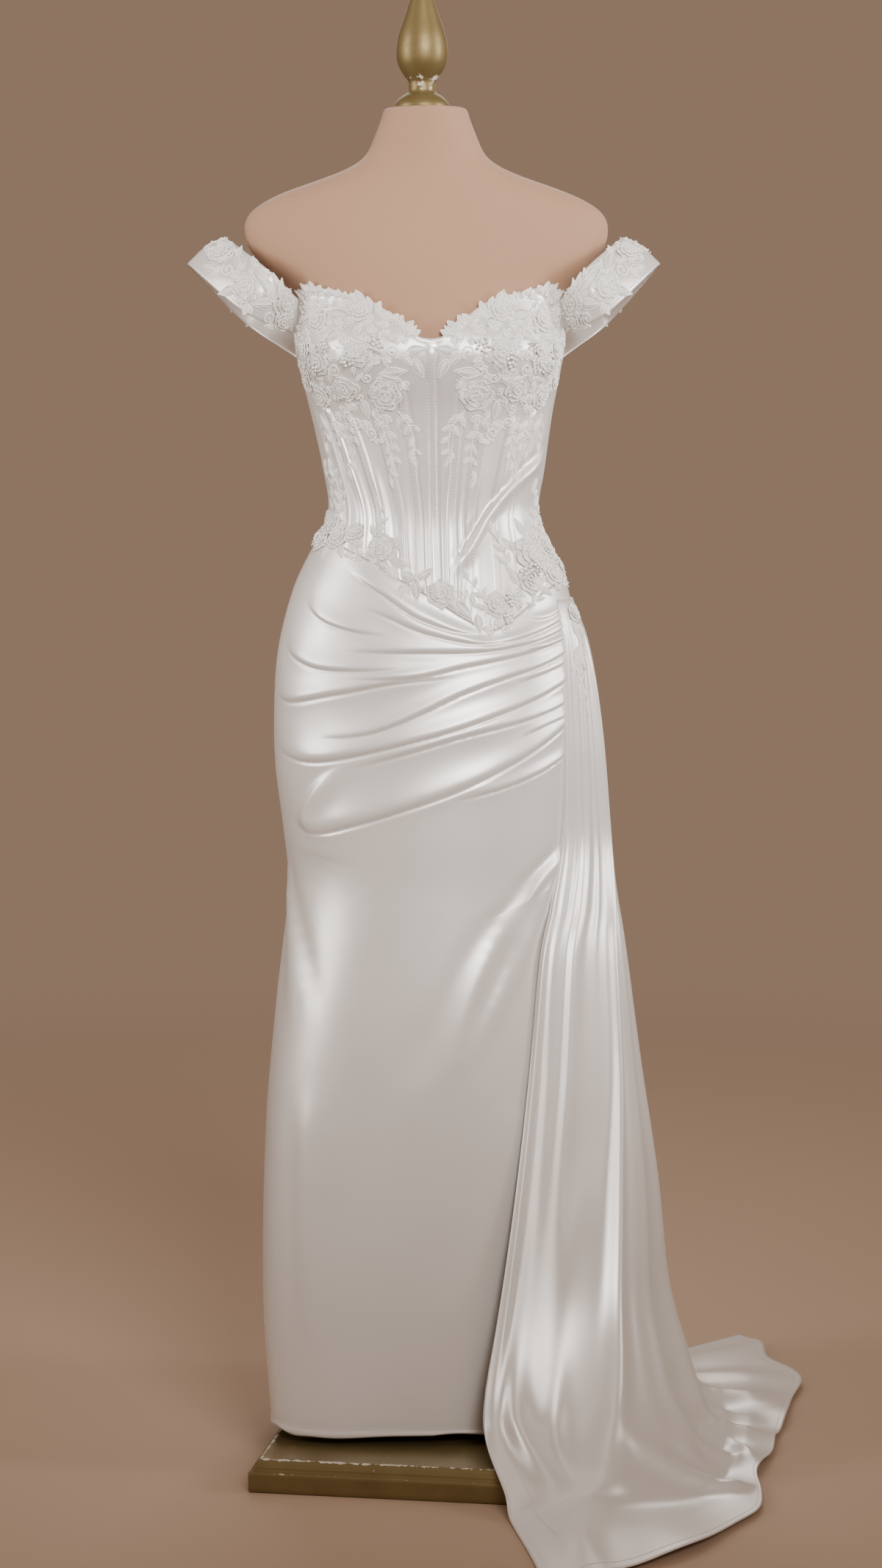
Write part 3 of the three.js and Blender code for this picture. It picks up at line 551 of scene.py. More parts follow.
def gilt_finish():
    """Old gold paint. The attribute 'wear' is 1 where an edge rubs, and the paint chips off there first."""
    material, tree, shader = new_material("old_gold")
    place = node(tree, "ShaderNodeTexCoord")
    even = place_group(tree, UNEVENNESS, place.outputs["Object"], Cloud_Scale=22.0, Grain_Scale=330.0)
    chip = node(tree, "ShaderNodeTexNoise", Scale=125.0, Detail=6.0, Roughness=0.68)
    wire(place.outputs["Object"], chip.inputs["Vector"])
    worn = node(tree, "ShaderNodeAttribute", attribute_name="wear")
    edge = node(tree, "ShaderNodeMath", operation="MULTIPLY_ADD")
    wire(worn.outputs["Fac"], edge.inputs[0])
    edge.inputs[1].default_value = 0.34
    wire(chip.outputs["Fac"], edge.inputs[2])
    bare = spread(tree, edge.outputs["Value"], 0.0, 1.0, 0.815, 0.84)
    gold = blend_colours(tree, even.outputs["Cloud"], (0.135, 0.097, 0.036), (0.225, 0.168, 0.068))
    wire(blend_colours(tree, bare, gold, (0.60, 0.55, 0.47)), shader.inputs["Base Color"])
    wire(spread(tree, bare, 0.55, 0.0), shader.inputs["Metallic"])
    wire(spread(tree, even.outputs["Grain"], 0.36, 0.56), shader.inputs["Roughness"])
    relief(tree, shader, spread(tree, bare, 1.0, 0.0), 0.5, 0.0008)
    return material


JERSEY = jersey_finish()
GILT = gilt_finish()
print("finishes:", JERSEY.name, GILT.name)

# %% [markdown]
# ## The dress form
# A limbless form is a padded body pulled into a tight knitted cover: shoulders that end in round caps, a
# short neck with a flat top, and no seams that show. A loft through the figure's sections gives it, a
# little inside the dress, with the neck's rim rounded over.

# %% Form
TORSO_FOOT = 640
NECK_TOP = 1495
FORM_COLUMNS = 168
CLOTH = 2.0
# the rounded rim of the neck: how far below the top, and how wide
NECK_RIM = ((2.0, 0.99), (0.7, 0.965), (0.0, 0.92), (0.0, 0.5))


def form_gap(height):
    return CLOTH + lerp(5.0, 2.1, smoothstep(height, 960, 1040))


def lofted(name, rings, material):
    """A closed solid through rings of points, from the bottom up, with flat ends."""
    rows, columns = rings.shape[:2]
    here = np.arange(columns)
    beside = (here + 1) % columns
    faces = []
    for j in range(rows - 1):
        low, high = j * columns, (j + 1) * columns
        faces.extend(np.stack([low + here, low + beside, high + beside, high + here], -1).tolist())
    faces.append(here[::-1].tolist())
    faces.append(((rows - 1) * columns + here).tolist())
    made = mesh_object(name, rings.reshape(-1, 3), faces, material)
    turn = here / columns
    layer = made.data.uv_layers.new(name="cloth")
    corner = np.zeros(len(made.data.loops), np.int32)
    made.data.loops.foreach_get("vertex_index", corner)
    flat = np.stack([turn[corner % columns] * 0.9, rings.reshape(-1, 3)[corner, 2] * MM], -1)
    layer.data.foreach_set("uv", flat.astype(np.float32).ravel())
    return made


def dress_form():
    angles = np.arange(FORM_COLUMNS) * 360 / FORM_COLUMNS - 180
    heights = np.concatenate([np.linspace(TORSO_FOOT, 1200, 26), np.linspace(1206, NECK_TOP - 4, 86)])
    rings = [on_figure(angles, height, -form_gap(height)) for height in heights]
    centre = rings[-1].mean(0)
    for drop, share in NECK_RIM:
        ring = on_figure(angles, NECK_TOP - drop, -form_gap(NECK_TOP))
        ring[:, :2] = centre[:2] + (ring[:, :2] - centre[:2]) * share
        rings.append(ring)
    return lofted("dress_form", np.array(rings), JERSEY)


form = dress_form()
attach(form, "root")
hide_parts("form_torso")
print("dress form:", triangles(form), "triangles")

# %% [markdown]
# ## Finial, pole and plinth
# The finial was turned on a lathe, so its profile is spun. The plinth is a board with a moulded edge. Old
# paint wears where hands and feet rub it, so every point carries a wear value: high on the narrow
# collar and along the moulding's edges, and low on the flats.

# %% Finial
FINIAL_SHIFT = -10
# columns: height above the neck, radius, wear
FINIAL_PROFILE = (
    (0.3, 30.0, 0.3),
    (3, 30.0, 0.2),
    (6.5, 28.6, 0.1),
    (10, 25.8, 0.0),
    (13.5, 21.5, 0.1),
    (16, 17.2, 0.4),
    (18.5, 15.2, 0.6),
    (24, 14.6, 0.85),
    (29, 14.9, 0.7),
    (32, 16.8, 0.9),
    (36, 19.8, 0.6),
    (42, 23.6, 0.15),
    (50, 27.0, 0.0),
    (58, 28.4, 0.0),
    (66, 28.4, 0.0),
    (80, 26.0, 0.0),
    (102, 18.5, 0.0),
    (124, 11.0, 0.05),
    (138, 6.6, 0.1),
    (144, 3.6, 0.2),
    (147, 0.4, 0.3),
)


def mark_points(piece, label, values):
    """Gives every point of a piece a number that its finish can read."""
    attribute = piece.data.attributes.new(label, "FLOAT", "POINT")
    attribute.data.foreach_set("value", np.asarray(values, np.float32))


def finial():
    radius_at = table_curve(FINIAL_PROFILE, 1)
    wear_at = table_curve(FINIAL_PROFILE, 2)
    rise = np.concatenate([np.linspace(0.3, 40, 40), np.linspace(41.5, 147, 56)])
    turn = np.radians(np.arange(72) * 5)
    rings = []
    for height in rise:
        radius = radius_at(height)
        level = np.full_like(turn, NECK_TOP + height)
        ring = np.stack([radius * np.sin(turn), -radius * np.cos(turn), level], -1)
        rings.append(ring + DRESS_AXIS + np.array((FINIAL_SHIFT, 0, 0)))
    made = lofted("turned_finial", np.array(rings), GILT)
    mark_points(made, "wear", np.repeat(wear_at(rise), len(turn)))
    return made


crown = finial()
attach(crown, "root")
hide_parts("finial")
print("finial:", triangles(crown), "triangles")

# %% Plinth and pole
PLINTH_WIDTH, PLINTH_DEPTH, PLINTH_TURN = 360, 486, math.radians(-9)
PLINTH_CORNER = 3.0
# columns: height, inset from the edge, wear
PLINTH_PROFILE = (
    (0.0, 2.0, 0.2),
    (0.7, 0.7, 0.3),
    (2.2, 0.0, 0.2),
    (6.0, 0.0, 0.0),
    (18.0, 0.0, 0.05),
    (21.0, 0.1, 0.4),
    (22.2, 0.8, 0.72),
    (22.8, 2.0, 0.5),
    (23.6, 4.4, 0.1),
    (24.6, 5.0, 0.05),
    (27.0, 5.0, 0.2),
    (28.2, 5.5, 0.62),
    (29.0, 6.6, 0.4),
    (30.2, 8.2, 0.1),
    (32.6, 9.2, 0.3),
    (34.0, 10.0, 0.85),
    (34.8, 11.2, 1.15),
    (35.0, 12.6, 0.9),
    (35.0, 15.5, 0.35),
    (35.0, 21.0, 0.3),
    (35.0, 60.0, 0.27),
    (35.0, 110.0, 0.2),
)


def plinth_ring(height, inset):
    """A rectangle with softly rounded corners, evenly divided along its sides."""
    half = np.array((PLINTH_WIDTH / 2 - inset, PLINTH_DEPTH / 2 - inset))
    ring = []
    for k in range(4):
        turn = k * math.pi / 2
        forwards = np.array((math.cos(turn), math.sin(turn)))
        aside = np.array((math.sin(turn), -math.cos(turn)))
        reach, side = (half[0], half[1]) if k % 2 == 0 else (half[1], half[0])
        for share in np.linspace(-1, 1, 30)[:-1]:
            ring.append(aside * side + forwards * share * (reach - PLINTH_CORNER))
        for share in np.linspace(0, 1, 6)[:-1]:
            bend = share * math.pi / 2
            middle = aside * (side - PLINTH_CORNER) + forwards * (reach - PLINTH_CORNER)
            ring.append(middle + PLINTH_CORNER * (aside * math.cos(bend) + forwards * math.sin(bend)))
    x, y = np.array(ring).T
    cos, sin = math.cos(PLINTH_TURN), math.sin(PLINTH_TURN)
    return np.stack([x * cos - y * sin, x * sin + y * cos, np.full_like(x, height)], -1)


def plinth():
    rings = np.array([plinth_ring(height, inset) for height, inset, _ in PLINTH_PROFILE])
    made = lofted("moulded_plinth", rings, GILT)
    worn = np.repeat([row[2] for row in PLINTH_PROFILE], rings.shape[1])
    flat = rings.reshape(-1, 3)
    right_front = smoothstep(-flat[:, 0], -150, 150) * smoothstep(-flat[:, 1], -100, 200)
    mark_points(made, "wear", worn * lerp(0.62, 1.05, right_front))
    return made


board = plinth()
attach(board, "root")
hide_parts("plinth")
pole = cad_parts["stand_pole"]
pole.data.materials.clear()
pole.data.materials.append(GILT)
print("plinth:", triangles(board), "triangles")

# %% [markdown]
# ## The corset bodice
# A corset is sewn from panels that fan up from a point in front, with bones in stitched channels over the
# seams and midway between them. The satin is pulled tight over the bones, so it drags in long soft folds
# beside them. One loose fold slants across the wearer's left. The columns of this grid follow the
# panels, so every channel is one straight column and stays crisp.

# %% Edges and panels of the bodice
# columns: degrees from the front centre, height
NECKLINE = (
    (0, 1240), (5, 1243), (12, 1258), (24, 1281), (38, 1291), (50, 1297),
    (62, 1293), (74, 1273), (84, 1254), (100, 1240), (130, 1230), (180, 1224),
)
UNDERWIRE = (
    (0, 1240), (5, 1232), (12, 1200), (24, 1170), (38, 1160), (52, 1164),
    (66, 1186), (78, 1226), (84, 1254),
)
WAISTLINE = (
    (-180, 1000), (-130, 1012), (-90, 1024), (-66, 1022), (-46, 1013), (-30, 1000),
    (-14, 980), (0, 960), (14, 936), (24, 924), (34, 935), (50, 960),
    (66, 972), (90, 976), (130, 986), (180, 1000),
)
# columns: angle of a seam at the waistline, and at the top
PANEL_SEAMS = (
    (-180, -180), (-94, -98), (-34, -56), (-10, -27), (2, 0), (14, 27), (38, 56), (94, 98), (180, 180),
)
CUP_ANGLE, CUP_HEIGHT, CUP_SPREAD, CUP_REACH, CUP_DEPTH = 36, 1222, 26, 46, 15
waistline = table_curve(WAISTLINE, 1)
neckline_of = table_curve(NECKLINE, 1)
underwire_of = table_curve(UNDERWIRE, 1)


def neckline(angle):
    return neckline_of(np.abs(angle))


def panel_top(angle):
    return np.where(np.abs(angle) < 84, underwire_of(np.abs(angle)), neckline(angle))


def top_angle(low):
    """The angle at the top of the panel column that starts at this angle on the waistline."""
    return np.interp(low, [row[0] for row in PANEL_SEAMS], [row[1] for row in PANEL_SEAMS])


def on_bodice(angle, height, out=0.0):
    across = (np.abs(angle) - CUP_ANGLE) / CUP_SPREAD
    above = (height - CUP_HEIGHT) / CUP_REACH
    return on_figure(angle, height, out + CUP_DEPTH * np.exp(-(across**2) - above**2))


def climb(low, height):
    """How far up its panel a point lies, from 0 on the waistline to 1 at the panel's top."""
    foot = waistline(low)
    return (height - foot) / (panel_top(top_angle(low)) - foot)


def column_of(angle, height):
    """The panel column through a point, found by halving, because the columns fan out."""
    low = np.full(np.shape(angle), -180.0)
    high = np.full(np.shape(angle), 180.0)
    for _ in range(26):
        middle = (low + high) / 2
        found = lerp(middle, top_angle(middle), np.clip(climb(middle, height), 0, 1))
        low = np.where(found < angle, middle, low)
        high = np.where(found < angle, high, middle)
    return (low + high) / 2


print("front point of the bodice at height", float(waistline(24.0)))

# %% Bones, drag folds and the slanting fold
# angles on the waistline
BONES = (-34, -22, -10, -4, 2, 8, 14, 26, 38)
BACK_BONES = (-137, 137)
CENTRE_BONE = 2
BONE_HALF, BONE_RISE, BACK_RISE = 4.4, 2.2, 1.4
# half width of the doubled satin over the zip, how far it stands off, and where the zip ends below
ZIP_HALF, ZIP_RISE, ZIP_END = 7.0, 0.9, 800
# columns: angle on the waistline, width, depth, where it starts and ends on the panel
DRAG_FOLDS = (
    (-60, 9, 1.2, 0.0, 0.9),
    (-46, 6, 2.1, 0.05, 1.0),
    (-40, 5, -1.0, 0.1, 1.0),
    (-30.5, 4.5, 2.1, 0.0, 0.85),
    (-27, 4, -1.1, 0.05, 0.9),
    (-18.5, 4, 2.5, 0.0, 0.8),
    (-14.5, 4, -1.1, 0.1, 0.9),
    (-7.5, 3, 1.1, 0.0, 0.7),
    (-1.5, 3, 0.9, 0.0, 0.8),
    (5, 3, 1.1, 0.0, 0.75),
    (10.6, 3, 2.0, 0.0, 0.8),
    (17.5, 4.5, 2.9, 0.05, 0.9),
    (22.5, 4, -1.1, 0.0, 0.8),
    (31, 5, 2.4, 0.1, 0.95),
    (35, 4, -1.0, 0.1, 0.9),
    (48, 7, 1.4, 0.05, 0.9),
    (62, 9, 1.2, 0.1, 0.9),
    (120, 14, 1.2, 0.0, 0.9),
    (150, 12, 1.0, 0.0, 0.9),
    (-120, 14, 1.2, 0.0, 0.9),
    (-150, 12, 1.0, 0.0, 0.9),
)
# columns: angle, height
SLANT_FOLD = ((4, 976), (16.5, 1009), (31, 1049), (50, 1087), (80, 1120))
# how far the slanting fold stands off, and how much of the relief under it the loose satin hides
SLANT_RISE, SLANT_HIDES = 5.4, 0.92
slant_height = table_curve(SLANT_FOLD, 1)
print("bones:", len(BONES + BACK_BONES), "and drag folds:", len(DRAG_FOLDS))

# %% Relief of the bodice


def fold_cover(angle, height):
    """1 where the loose satin below the slanting fold hides the bones."""
    above = height - slant_height(angle)
    return smoothstep(angle, 7, 18) * (1 - smoothstep(angle, 72, 88)) * smoothstep(-above, -26, -6)


def bodice_relief(low, angle, height):
    """How far the satin stands off the plain bodice."""
    share = climb(low, height)
    clipped = np.clip(share, 0, 1)
    scale = per_degree(angle, height)
    lift = np.zeros(np.broadcast(angle, height).shape)
    ends = smoothstep(share, -0.01, 0.03) * (1 - smoothstep(share, 0.95, 1.0))
    for bone in BONES + BACK_BONES:
        rise = BONE_RISE if bone in BONES else BACK_RISE
        beside = np.abs(angle - lerp(bone, top_angle(bone), clipped)) * scale
        lift += rise * (1 - smoothstep(beside, BONE_HALF - 1.4, BONE_HALF + 0.8)) * ends
        lift -= 0.9 * bump(beside - BONE_HALF - 0.9, 1.3) * ends
        lift -= 0.35 * bump(beside, 0.6) * ends * (bone == CENTRE_BONE)
    for fold, width, depth, start, end in DRAG_FOLDS:
        beside = (angle - lerp(fold, top_angle(fold), clipped)) * scale
        shown = smoothstep(share, start - 0.08, start + 0.14) * (1 - smoothstep(share, end - 0.3, end))
        lift += depth * bump(beside, width * lerp(0.6, 1.25, clipped)) * shown
    above = height - slant_height(angle)
    shown = smoothstep(angle, 5, 20) * (1 - smoothstep(angle, 60, 80))
    cover = fold_cover(angle, height)
    lift = lift * (1 - SLANT_HIDES * cover)
    under = np.minimum(above, 0)
    crest = np.where(above > 0, bump(above, 6.5), 0.75 * bump(above, 10) + 0.25 * np.exp(under / 22))
    crest = crest - 0.16 * bump(above - 12, 5)
    lift = lift + shown * SLANT_RISE * crest
    edge = neckline(angle) - height
    lift += 0.9 * bump(edge - 2.5, 2.6)
    from_zip = (180 - np.abs(angle)) * scale
    lift += ZIP_RISE * (1 - smoothstep(from_zip, ZIP_HALF - 1, ZIP_HALF + 0.6)) - 1.6 * bump(from_zip, 1.3)
    return np.maximum(lift, -1.1)


def bodice_skin(angle, height, out=0.0):
    """The finished satin surface at any angle and height, for what is sewn on it."""
    angle, height = np.broadcast_arrays(np.asarray(angle, float), np.asarray(height, float))
    return on_bodice(angle, height, bodice_relief(column_of(angle, height), angle, height) + out)


print("satin on the centre bone:", np.round(bodice_skin(1.0, 1100.0), 1))

# %% Build the bodice


def steps(*runs):
    """Positions along a grid: runs of (from, to, step), the end of the last run left out."""
    return np.concatenate([np.arange(start, end, step) for start, end, step in runs])


BACK_HALF = steps((98, 132, 2.4), (132, 143, 0.7), (143, 173, 2.4), (173, 180, 0.5))
FRONT_COLUMNS = steps((-96, -44, 0.9), (-44, 72, 0.37), (72, 98, 0.9))
BODICE_COLUMNS = np.concatenate([[-180], -BACK_HALF[::-1], FRONT_COLUMNS, BACK_HALF])
BODICE_ROWS = np.linspace(0, 1, 136)
BODICE_INSIDE = np.linspace(0, 1, 18)
BODICE_WALL = 3.0
# half the gap at the waist seam
SEAM_GAP = 0.15


def bodice_places(rows):
    """The grid's columns, with the angle, the height and the share up the panel of each of its points."""
    low = BODICE_COLUMNS[None, :]
    high = top_angle(low)
    height = lerp(waistline(low) + SEAM_GAP, neckline(high), rows[:, None])
    share = climb(low, height)
    return low, lerp(low, high, np.clip(share, 0, 1)), height, share


def bodice_grid(rows, out, textured):
    low, angle, height, _ = bodice_places(rows)
    lift = bodice_relief(low, angle, height) if textured else 0.0
    return on_bodice(angle, height, out + lift)


def mark_sheer(piece):
    """Marks the front panels between the bones, where the satin is a single thin layer over mesh."""
    low, angle, height, share = bodice_places(BODICE_ROWS)
    clipped = np.clip(share, 0, 1)
    scale = per_degree(angle, height)
    value = smoothstep(low, -96, -90) * (1 - smoothstep(low, 90, 96)) * (1 - smoothstep(share, 0.93, 1.0))
    for bone in BONES:
        beside = np.abs(angle - lerp(bone, top_angle(bone), clipped)) * scale
        value = value * smoothstep(beside, BONE_HALF - 0.4, BONE_HALF + 1.4)
    value = value * (1 - fold_cover(angle, height))
    numbers = np.zeros(len(piece.data.vertices))
    numbers[: value.size] = value.ravel()
    mark_points(piece, "sheer", numbers)


bodice_out = bodice_grid(BODICE_ROWS, 0.0, True)
bodice_in = bodice_grid(BODICE_INSIDE, -BODICE_WALL, False)
bodice = shell("bodice", bodice_out, bodice_in, SATIN, True)
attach(bodice, "root")
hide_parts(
    *[
        f"bodice_{part}_{side}"
        for part in ("back", "side", "side_front", "front")
        for side in ("left", "right")
    ],
    *[f"cup_{side}" for side in ("left", "right")],
    *[f"bone_{side}_{k}" for side in ("left", "right") for k in (1, 2, 3, 4)],
    "bone_centre",
    "bodice_tuck",
)
mark_sheer(bodice)
print("bodice:", triangles(bodice), "triangles")

# %% [markdown]
# ## The gathered skirt
# The skirt's front is longer than the body under it, and the spare length is gathered into the seam on
# the wearer's left. From there the folds fan out across the hip and fade at the other side. A gather hangs
# over itself, so each one is a lopsided roll along its own curve: a long slope above, a rounded underside
# and a sharp crease, narrow at the seam and wider as it runs out. Below the hip the satin hangs smooth,
# with a few long drag lines.

# %% Gathers and waves of the skirt
HEM = 46
SEAM_END = 64
# millimetres for one degree at the hip
HIP_DEGREE = 2.6
# columns: depth, width of the upper slope, and the crest's places as (degrees, height) from right to left
GATHERS = (
    (4.2, 20, ((-46, 996), (-20, 963), (-3, 936), (18, 920), (37, 931), (55, 955))),
    (3.6, 15, ((-34, 953), (-20, 941), (-1, 919), (22, 910), (64, 934))),
    (3.4, 15, ((-62, 955), (-46, 934), (-28, 921), (-14, 917))),
    (3.8, 15, ((-40, 903), (-7, 899), (22, 901), (64, 924))),
    (4.4, 18, ((-74, 908), (-60, 892), (-44, 881), (-22, 879), (-4, 884))),
    (3.2, 12, ((-38, 872), (-7, 872), (15, 885), (64, 914))),
    (4.8, 17, ((-80, 850), (-60, 842), (-35, 853), (-12, 868), (12, 876))),
    (4.2, 15, ((-48, 803), (-20, 814), (15, 857), (64, 899))),
    (5.2, 20, ((-80, 796), (-64, 783), (-46, 779), (-24, 788), (0, 807), (30, 836), (64, 865))),
    (3.4, 13, ((-34, 770), (-12, 786), (15, 810), (64, 842))),
    (5.2, 26, ((-72, 716), (-52, 699), (-28, 710), (0, 738), (27, 770), (64, 815))),
    (3.0, 12, ((8, 736), (30, 752), (64, 784))),
    (2.6, 9, ((38, 936), (50, 934), (64, 944))),
    (2.4, 8, ((36, 900), (50, 904), (64, 912))),
    (2.6, 9, ((34, 866), (50, 876), (64, 886))),
    (2.4, 9, ((36, 806), (50, 818), (64, 828))),
)
# the curl that joins two of the lowest gathers near their right ends: its places as (height, degrees) upwards
CURL_DEPTH, CURL_WIDTH = 2.6, 8.5
CURL = ((690, -50), (714, -56), (738, -50), (768, -38), (786, -24))
# columns: angle, width in degrees, depth
FLUTES = (
    (-64, 16, 3.0), (-20, 14, 2.5), (22, 12, 3.0), (48, 10, 4.0),
    (128, 16, 5.0), (165, 14, 4.0), (-150, 16, 5.0), (-112, 16, 4.0),
)
# long drag folds of the smooth part: depth, width, and the crest's places as (height, degrees) upwards
DRAG_LINES = (
    (3.8, 13, ((385, -2), (401, 0), (561, 21), (636, 45), (690, 70))),
    (3.2, 11, ((430, 8), (443, 10.7), (580, 38), (630, 52), (680, 68))),
    (-2.6, 12, ((500, -38), (528, -44), (600, -63), (660, -80))),
    (2.2, 14, ((480, -56), (540, -64), (600, -76), (650, -90))),
    (1.8, 18, ((60, -14), (160, -24), (320, -34), (420, -40))),
    (1.8, 20, ((60, 8), (180, 14), (330, 24), (420, 30))),
)
# the dimple below the right end of the lowest long gather: degrees, height, reach across and upwards, depth
DIMPLE = (-56, 664, 15, 9, -2.6)
print("gathers:", len(GATHERS), "flutes:", len(FLUTES), "drag lines:", len(DRAG_LINES))

# %% Relief of the skirt


def gather_lift(angle, height):
    """Soft rolls that hang over a sharp crease, with a narrow sill of cloth below it."""
    lift = np.zeros(np.broadcast(angle, height).shape)
    for depth, width, places in GATHERS:
        start, end = places[0][0], places[-1][0]
        line = table_curve(places, 1)(angle)
        line = line + 1.2 * np.sin(np.radians(angle * 4.3 + 11 * end + 7 * start))
        run = np.clip((angle - start) / (end - start), 0, 1)
        peak = 0.42 * width * lerp(1.15, 0.65, run)
        shown = smoothstep(angle, start, start + 0.3 * (end - start))
        if end == SEAM_END:
            shown = shown * (1 - smoothstep(angle, SEAM_END - 4, SEAM_END + 2))
        else:
            shown = shown * (1 - smoothstep(angle, lerp(start, end, 0.6), end))
        above = height - line
        over = np.maximum(above, 0) / peak
        under = np.minimum(above, 0)
        roll = over * np.exp(1 - over)
        sill = np.exp(under / 9) * (1 - np.exp(under / 1.6))
        lift += depth * shown * (0.8 * roll + 0.34 * sill - 0.10 * bump(above, 2.0))
    beside = (angle - table_curve(CURL, 1)(height)) * HIP_DEGREE
    shown = smoothstep(height, CURL[0][0], CURL[1][0]) * (1 - smoothstep(height, CURL[2][0], CURL[-1][0]))
    curl = np.where(beside > 0, bump(beside, 2.4 * CURL_WIDTH), bump(beside, CURL_WIDTH))
    lift += CURL_DEPTH * shown * curl
    return np.maximum(lift * smoothstep(waistline(angle) - height, 0, 22), -2.8)


def skirt_relief(angle, height):
    lift = gather_lift(angle, height)
    lift = lift + 1.0 * bump(height - HEM - 2, 3.0) - 0.5 * bump(height - HEM - 9, 2.0)
    from_zip = (180 - np.abs(angle)) * per_degree(angle, height)
    placket = ZIP_RISE * smoothstep(height, ZIP_END - 6, ZIP_END + 6)
    doubled = 1 - smoothstep(from_zip, ZIP_HALF - 1, ZIP_HALF + 0.6)
    lift = lift + placket * doubled - 1.2 * bump(from_zip, 1.4)
    low = 1 - smoothstep(height, HEM, 620)
    for at, width, depth in FLUTES:
        lift = lift + depth * low * bump(angle - at, width)
    for depth, width, places in DRAG_LINES:
        start, end = places[0][0], places[-1][0]
        beside = (angle - table_curve(places, 1)(height)) * HIP_DEGREE
        shown = smoothstep(height, start, lerp(start, end, 0.4))
        shown = shown * (1 - smoothstep(height, lerp(start, end, 0.9), end))
        lift = lift + depth * shown * (bump(beside, width) - 0.35 * bump(beside + 1.7 * width, width))
    at, at_height, reach, rise, depth = DIMPLE
    lift = lift + depth * bump(angle - at, reach) * bump(height - at_height, rise)
    return lift


print("lift on the longest gather:", round(float(skirt_relief(-46.0, 785.0)), 2), "mm")

# %% Build the skirt
SKIRT_COLUMNS = steps(
    (-180, -176, 0.5), (-176, -100, 2.6), (-100, -50, 0.8), (-50, 70, 0.64), (70, 176, 2.6), (176, 180, 0.5)
)
HEM_ROWS = (0, 0.002, 0.004, 0.007, 0.010, 0.014)
SKIRT_ROWS = np.concatenate([HEM_ROWS, np.linspace(0.022, 0.645, 36)[:-1], np.linspace(0.645, 1, 200)])
INSIDE_ROWS = np.linspace(0, 1, 26)
GATHER_WALL = 4.0


def skirt_grid(rows, out, textured):
    angle = SKIRT_COLUMNS[None, :]
    wave = 2.2 * np.sin(np.radians(angle * 5 + 40)) + 1.4 * np.sin(np.radians(angle * 11))
    hem = HEM + np.where(np.abs(angle) < 94, wave, 0.6 * wave)
    height = lerp(hem, waistline(angle) - SEAM_GAP, rows[:, None])
    lift = skirt_relief(angle, height) if textured else 0.0
    return on_figure(angle, height, out + lift)


skirt_out = skirt_grid(SKIRT_ROWS, 0.0, True)
skirt_in = skirt_grid(INSIDE_ROWS, -GATHER_WALL, False)
follows = 1 - smoothstep(INSIDE_ROWS[:, None, None], 0.45, 0.64)
skirt_in = lerp(skirt_in, skirt_grid(INSIDE_ROWS, -CLOTH, True), follows)
skirt = shell("skirt", skirt_out, skirt_in, SATIN, True)
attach(skirt, "root")
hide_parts("skirt_front", "skirt_back_left", "skirt_back_right")
print("skirt:", triangles(skirt), "triangles")

# %% [markdown]
# ## The side drape and its train
# A length of satin is pleated into the hip seam and hangs free, opening into a train on the floor. Its
# front edge turns under, and the pleats fall as long soft columns that flare and break where they meet
# the floor. Rings of points from the hip to the hem give the outline, and each pleat is a bump that runs
# down through them. A simulation would settle anywhere; placing the pleats one by one keeps the real ones.

# %% Rings and pleats of the drape
# columns: height, where the ring starts and ends, distance from the axis at five even shares of that stretch
DRAPE_RINGS = (
    (956, 72, 98, 148.8, 154, 157.6, 158.4, 156.8),
    (900, 71, 106, 152.8, 170, 176, 177, 171),
    (800, 71, 112, 154.8, 180, 192, 191, 178),
    (690, 70, 119, 153.2, 186, 202, 200, 182),
    (620, 61, 124, 151.4, 190, 208, 206, 184),
    (560, 51, 128, 154, 192, 215, 213, 188),
    (430, 41, 132, 163, 204, 231, 228, 200),
    (300, 31, 136, 177, 217, 250, 243, 212),
    (180, 22, 139, 194, 242, 262, 258, 232),
    (100, 16, 140, 212, 282, 285, 284, 270),
    (58, 14.5, 140, 236, 322, 300, 304, 304),
    (24, 14.5, 139, 312, 358, 312, 320, 338),
    (5, 14, 138.5, 346, 388, 335, 344, 366),
    (3, 13, 138, 452, 426, 362, 392, 466),
    (3, 12, 137, 556, 468, 390, 440, 572),
)
# columns: width, depth, and place across the drape at five stations on the way down
PLEAT_STATIONS = (0.0, 0.25, 0.5, 0.72, 1.0)
PLEATS = (
    (0.030, 5.0, (0.11, 0.09, 0.07, 0.05, 0.04)),
    (0.034, 6.5, (0.22, 0.18, 0.14, 0.10, 0.08)),
    (0.022, 8.5, (0.42, 0.38, 0.31, 0.185, 0.015)),
    (0.085, 9.0, (0.43, 0.39, 0.32, 0.195, 0.02)),
    (0.026, -6.0, (0.47, 0.43, 0.36, 0.237, 0.07)),
    (0.030, 6.0, (0.53, 0.50, 0.44, 0.36, 0.30)),
    (0.050, 11.0, (0.64, 0.62, 0.58, 0.53, 0.50)),
    (0.026, 5.0, (0.71, 0.70, 0.67, 0.64, 0.62)),
    (0.050, 12.0, (0.80, 0.79, 0.78, 0.76, 0.75)),
    (0.045, 9.0, (0.91, 0.91, 0.91, 0.91, 0.92)),
)
# how strong each of them is at the same stations
PLEAT_STRENGTH = (
    (1.0, 0.9, 0.35, 0.1, 0.0),
    (1.0, 0.9, 0.3, 0.0, 0.0),
    (0.9, 1.0, 1.1, 1.2, 0.6),
    (0.4, 0.8, 1.2, 1.4, 1.1),
    (0.3, 0.8, 1.0, 0.5, 0.0),
    (1.0, 0.9, 0.8, 0.9, 0.6),
    (0.7, 1.0, 1.1, 1.2, 0.8),
    (1.0, 0.9, 0.6, 0.5, 0.3),
    (0.8, 1.0, 1.1, 1.2, 0.8),
    (0.8, 1.0, 1.1, 1.1, 0.7),
)
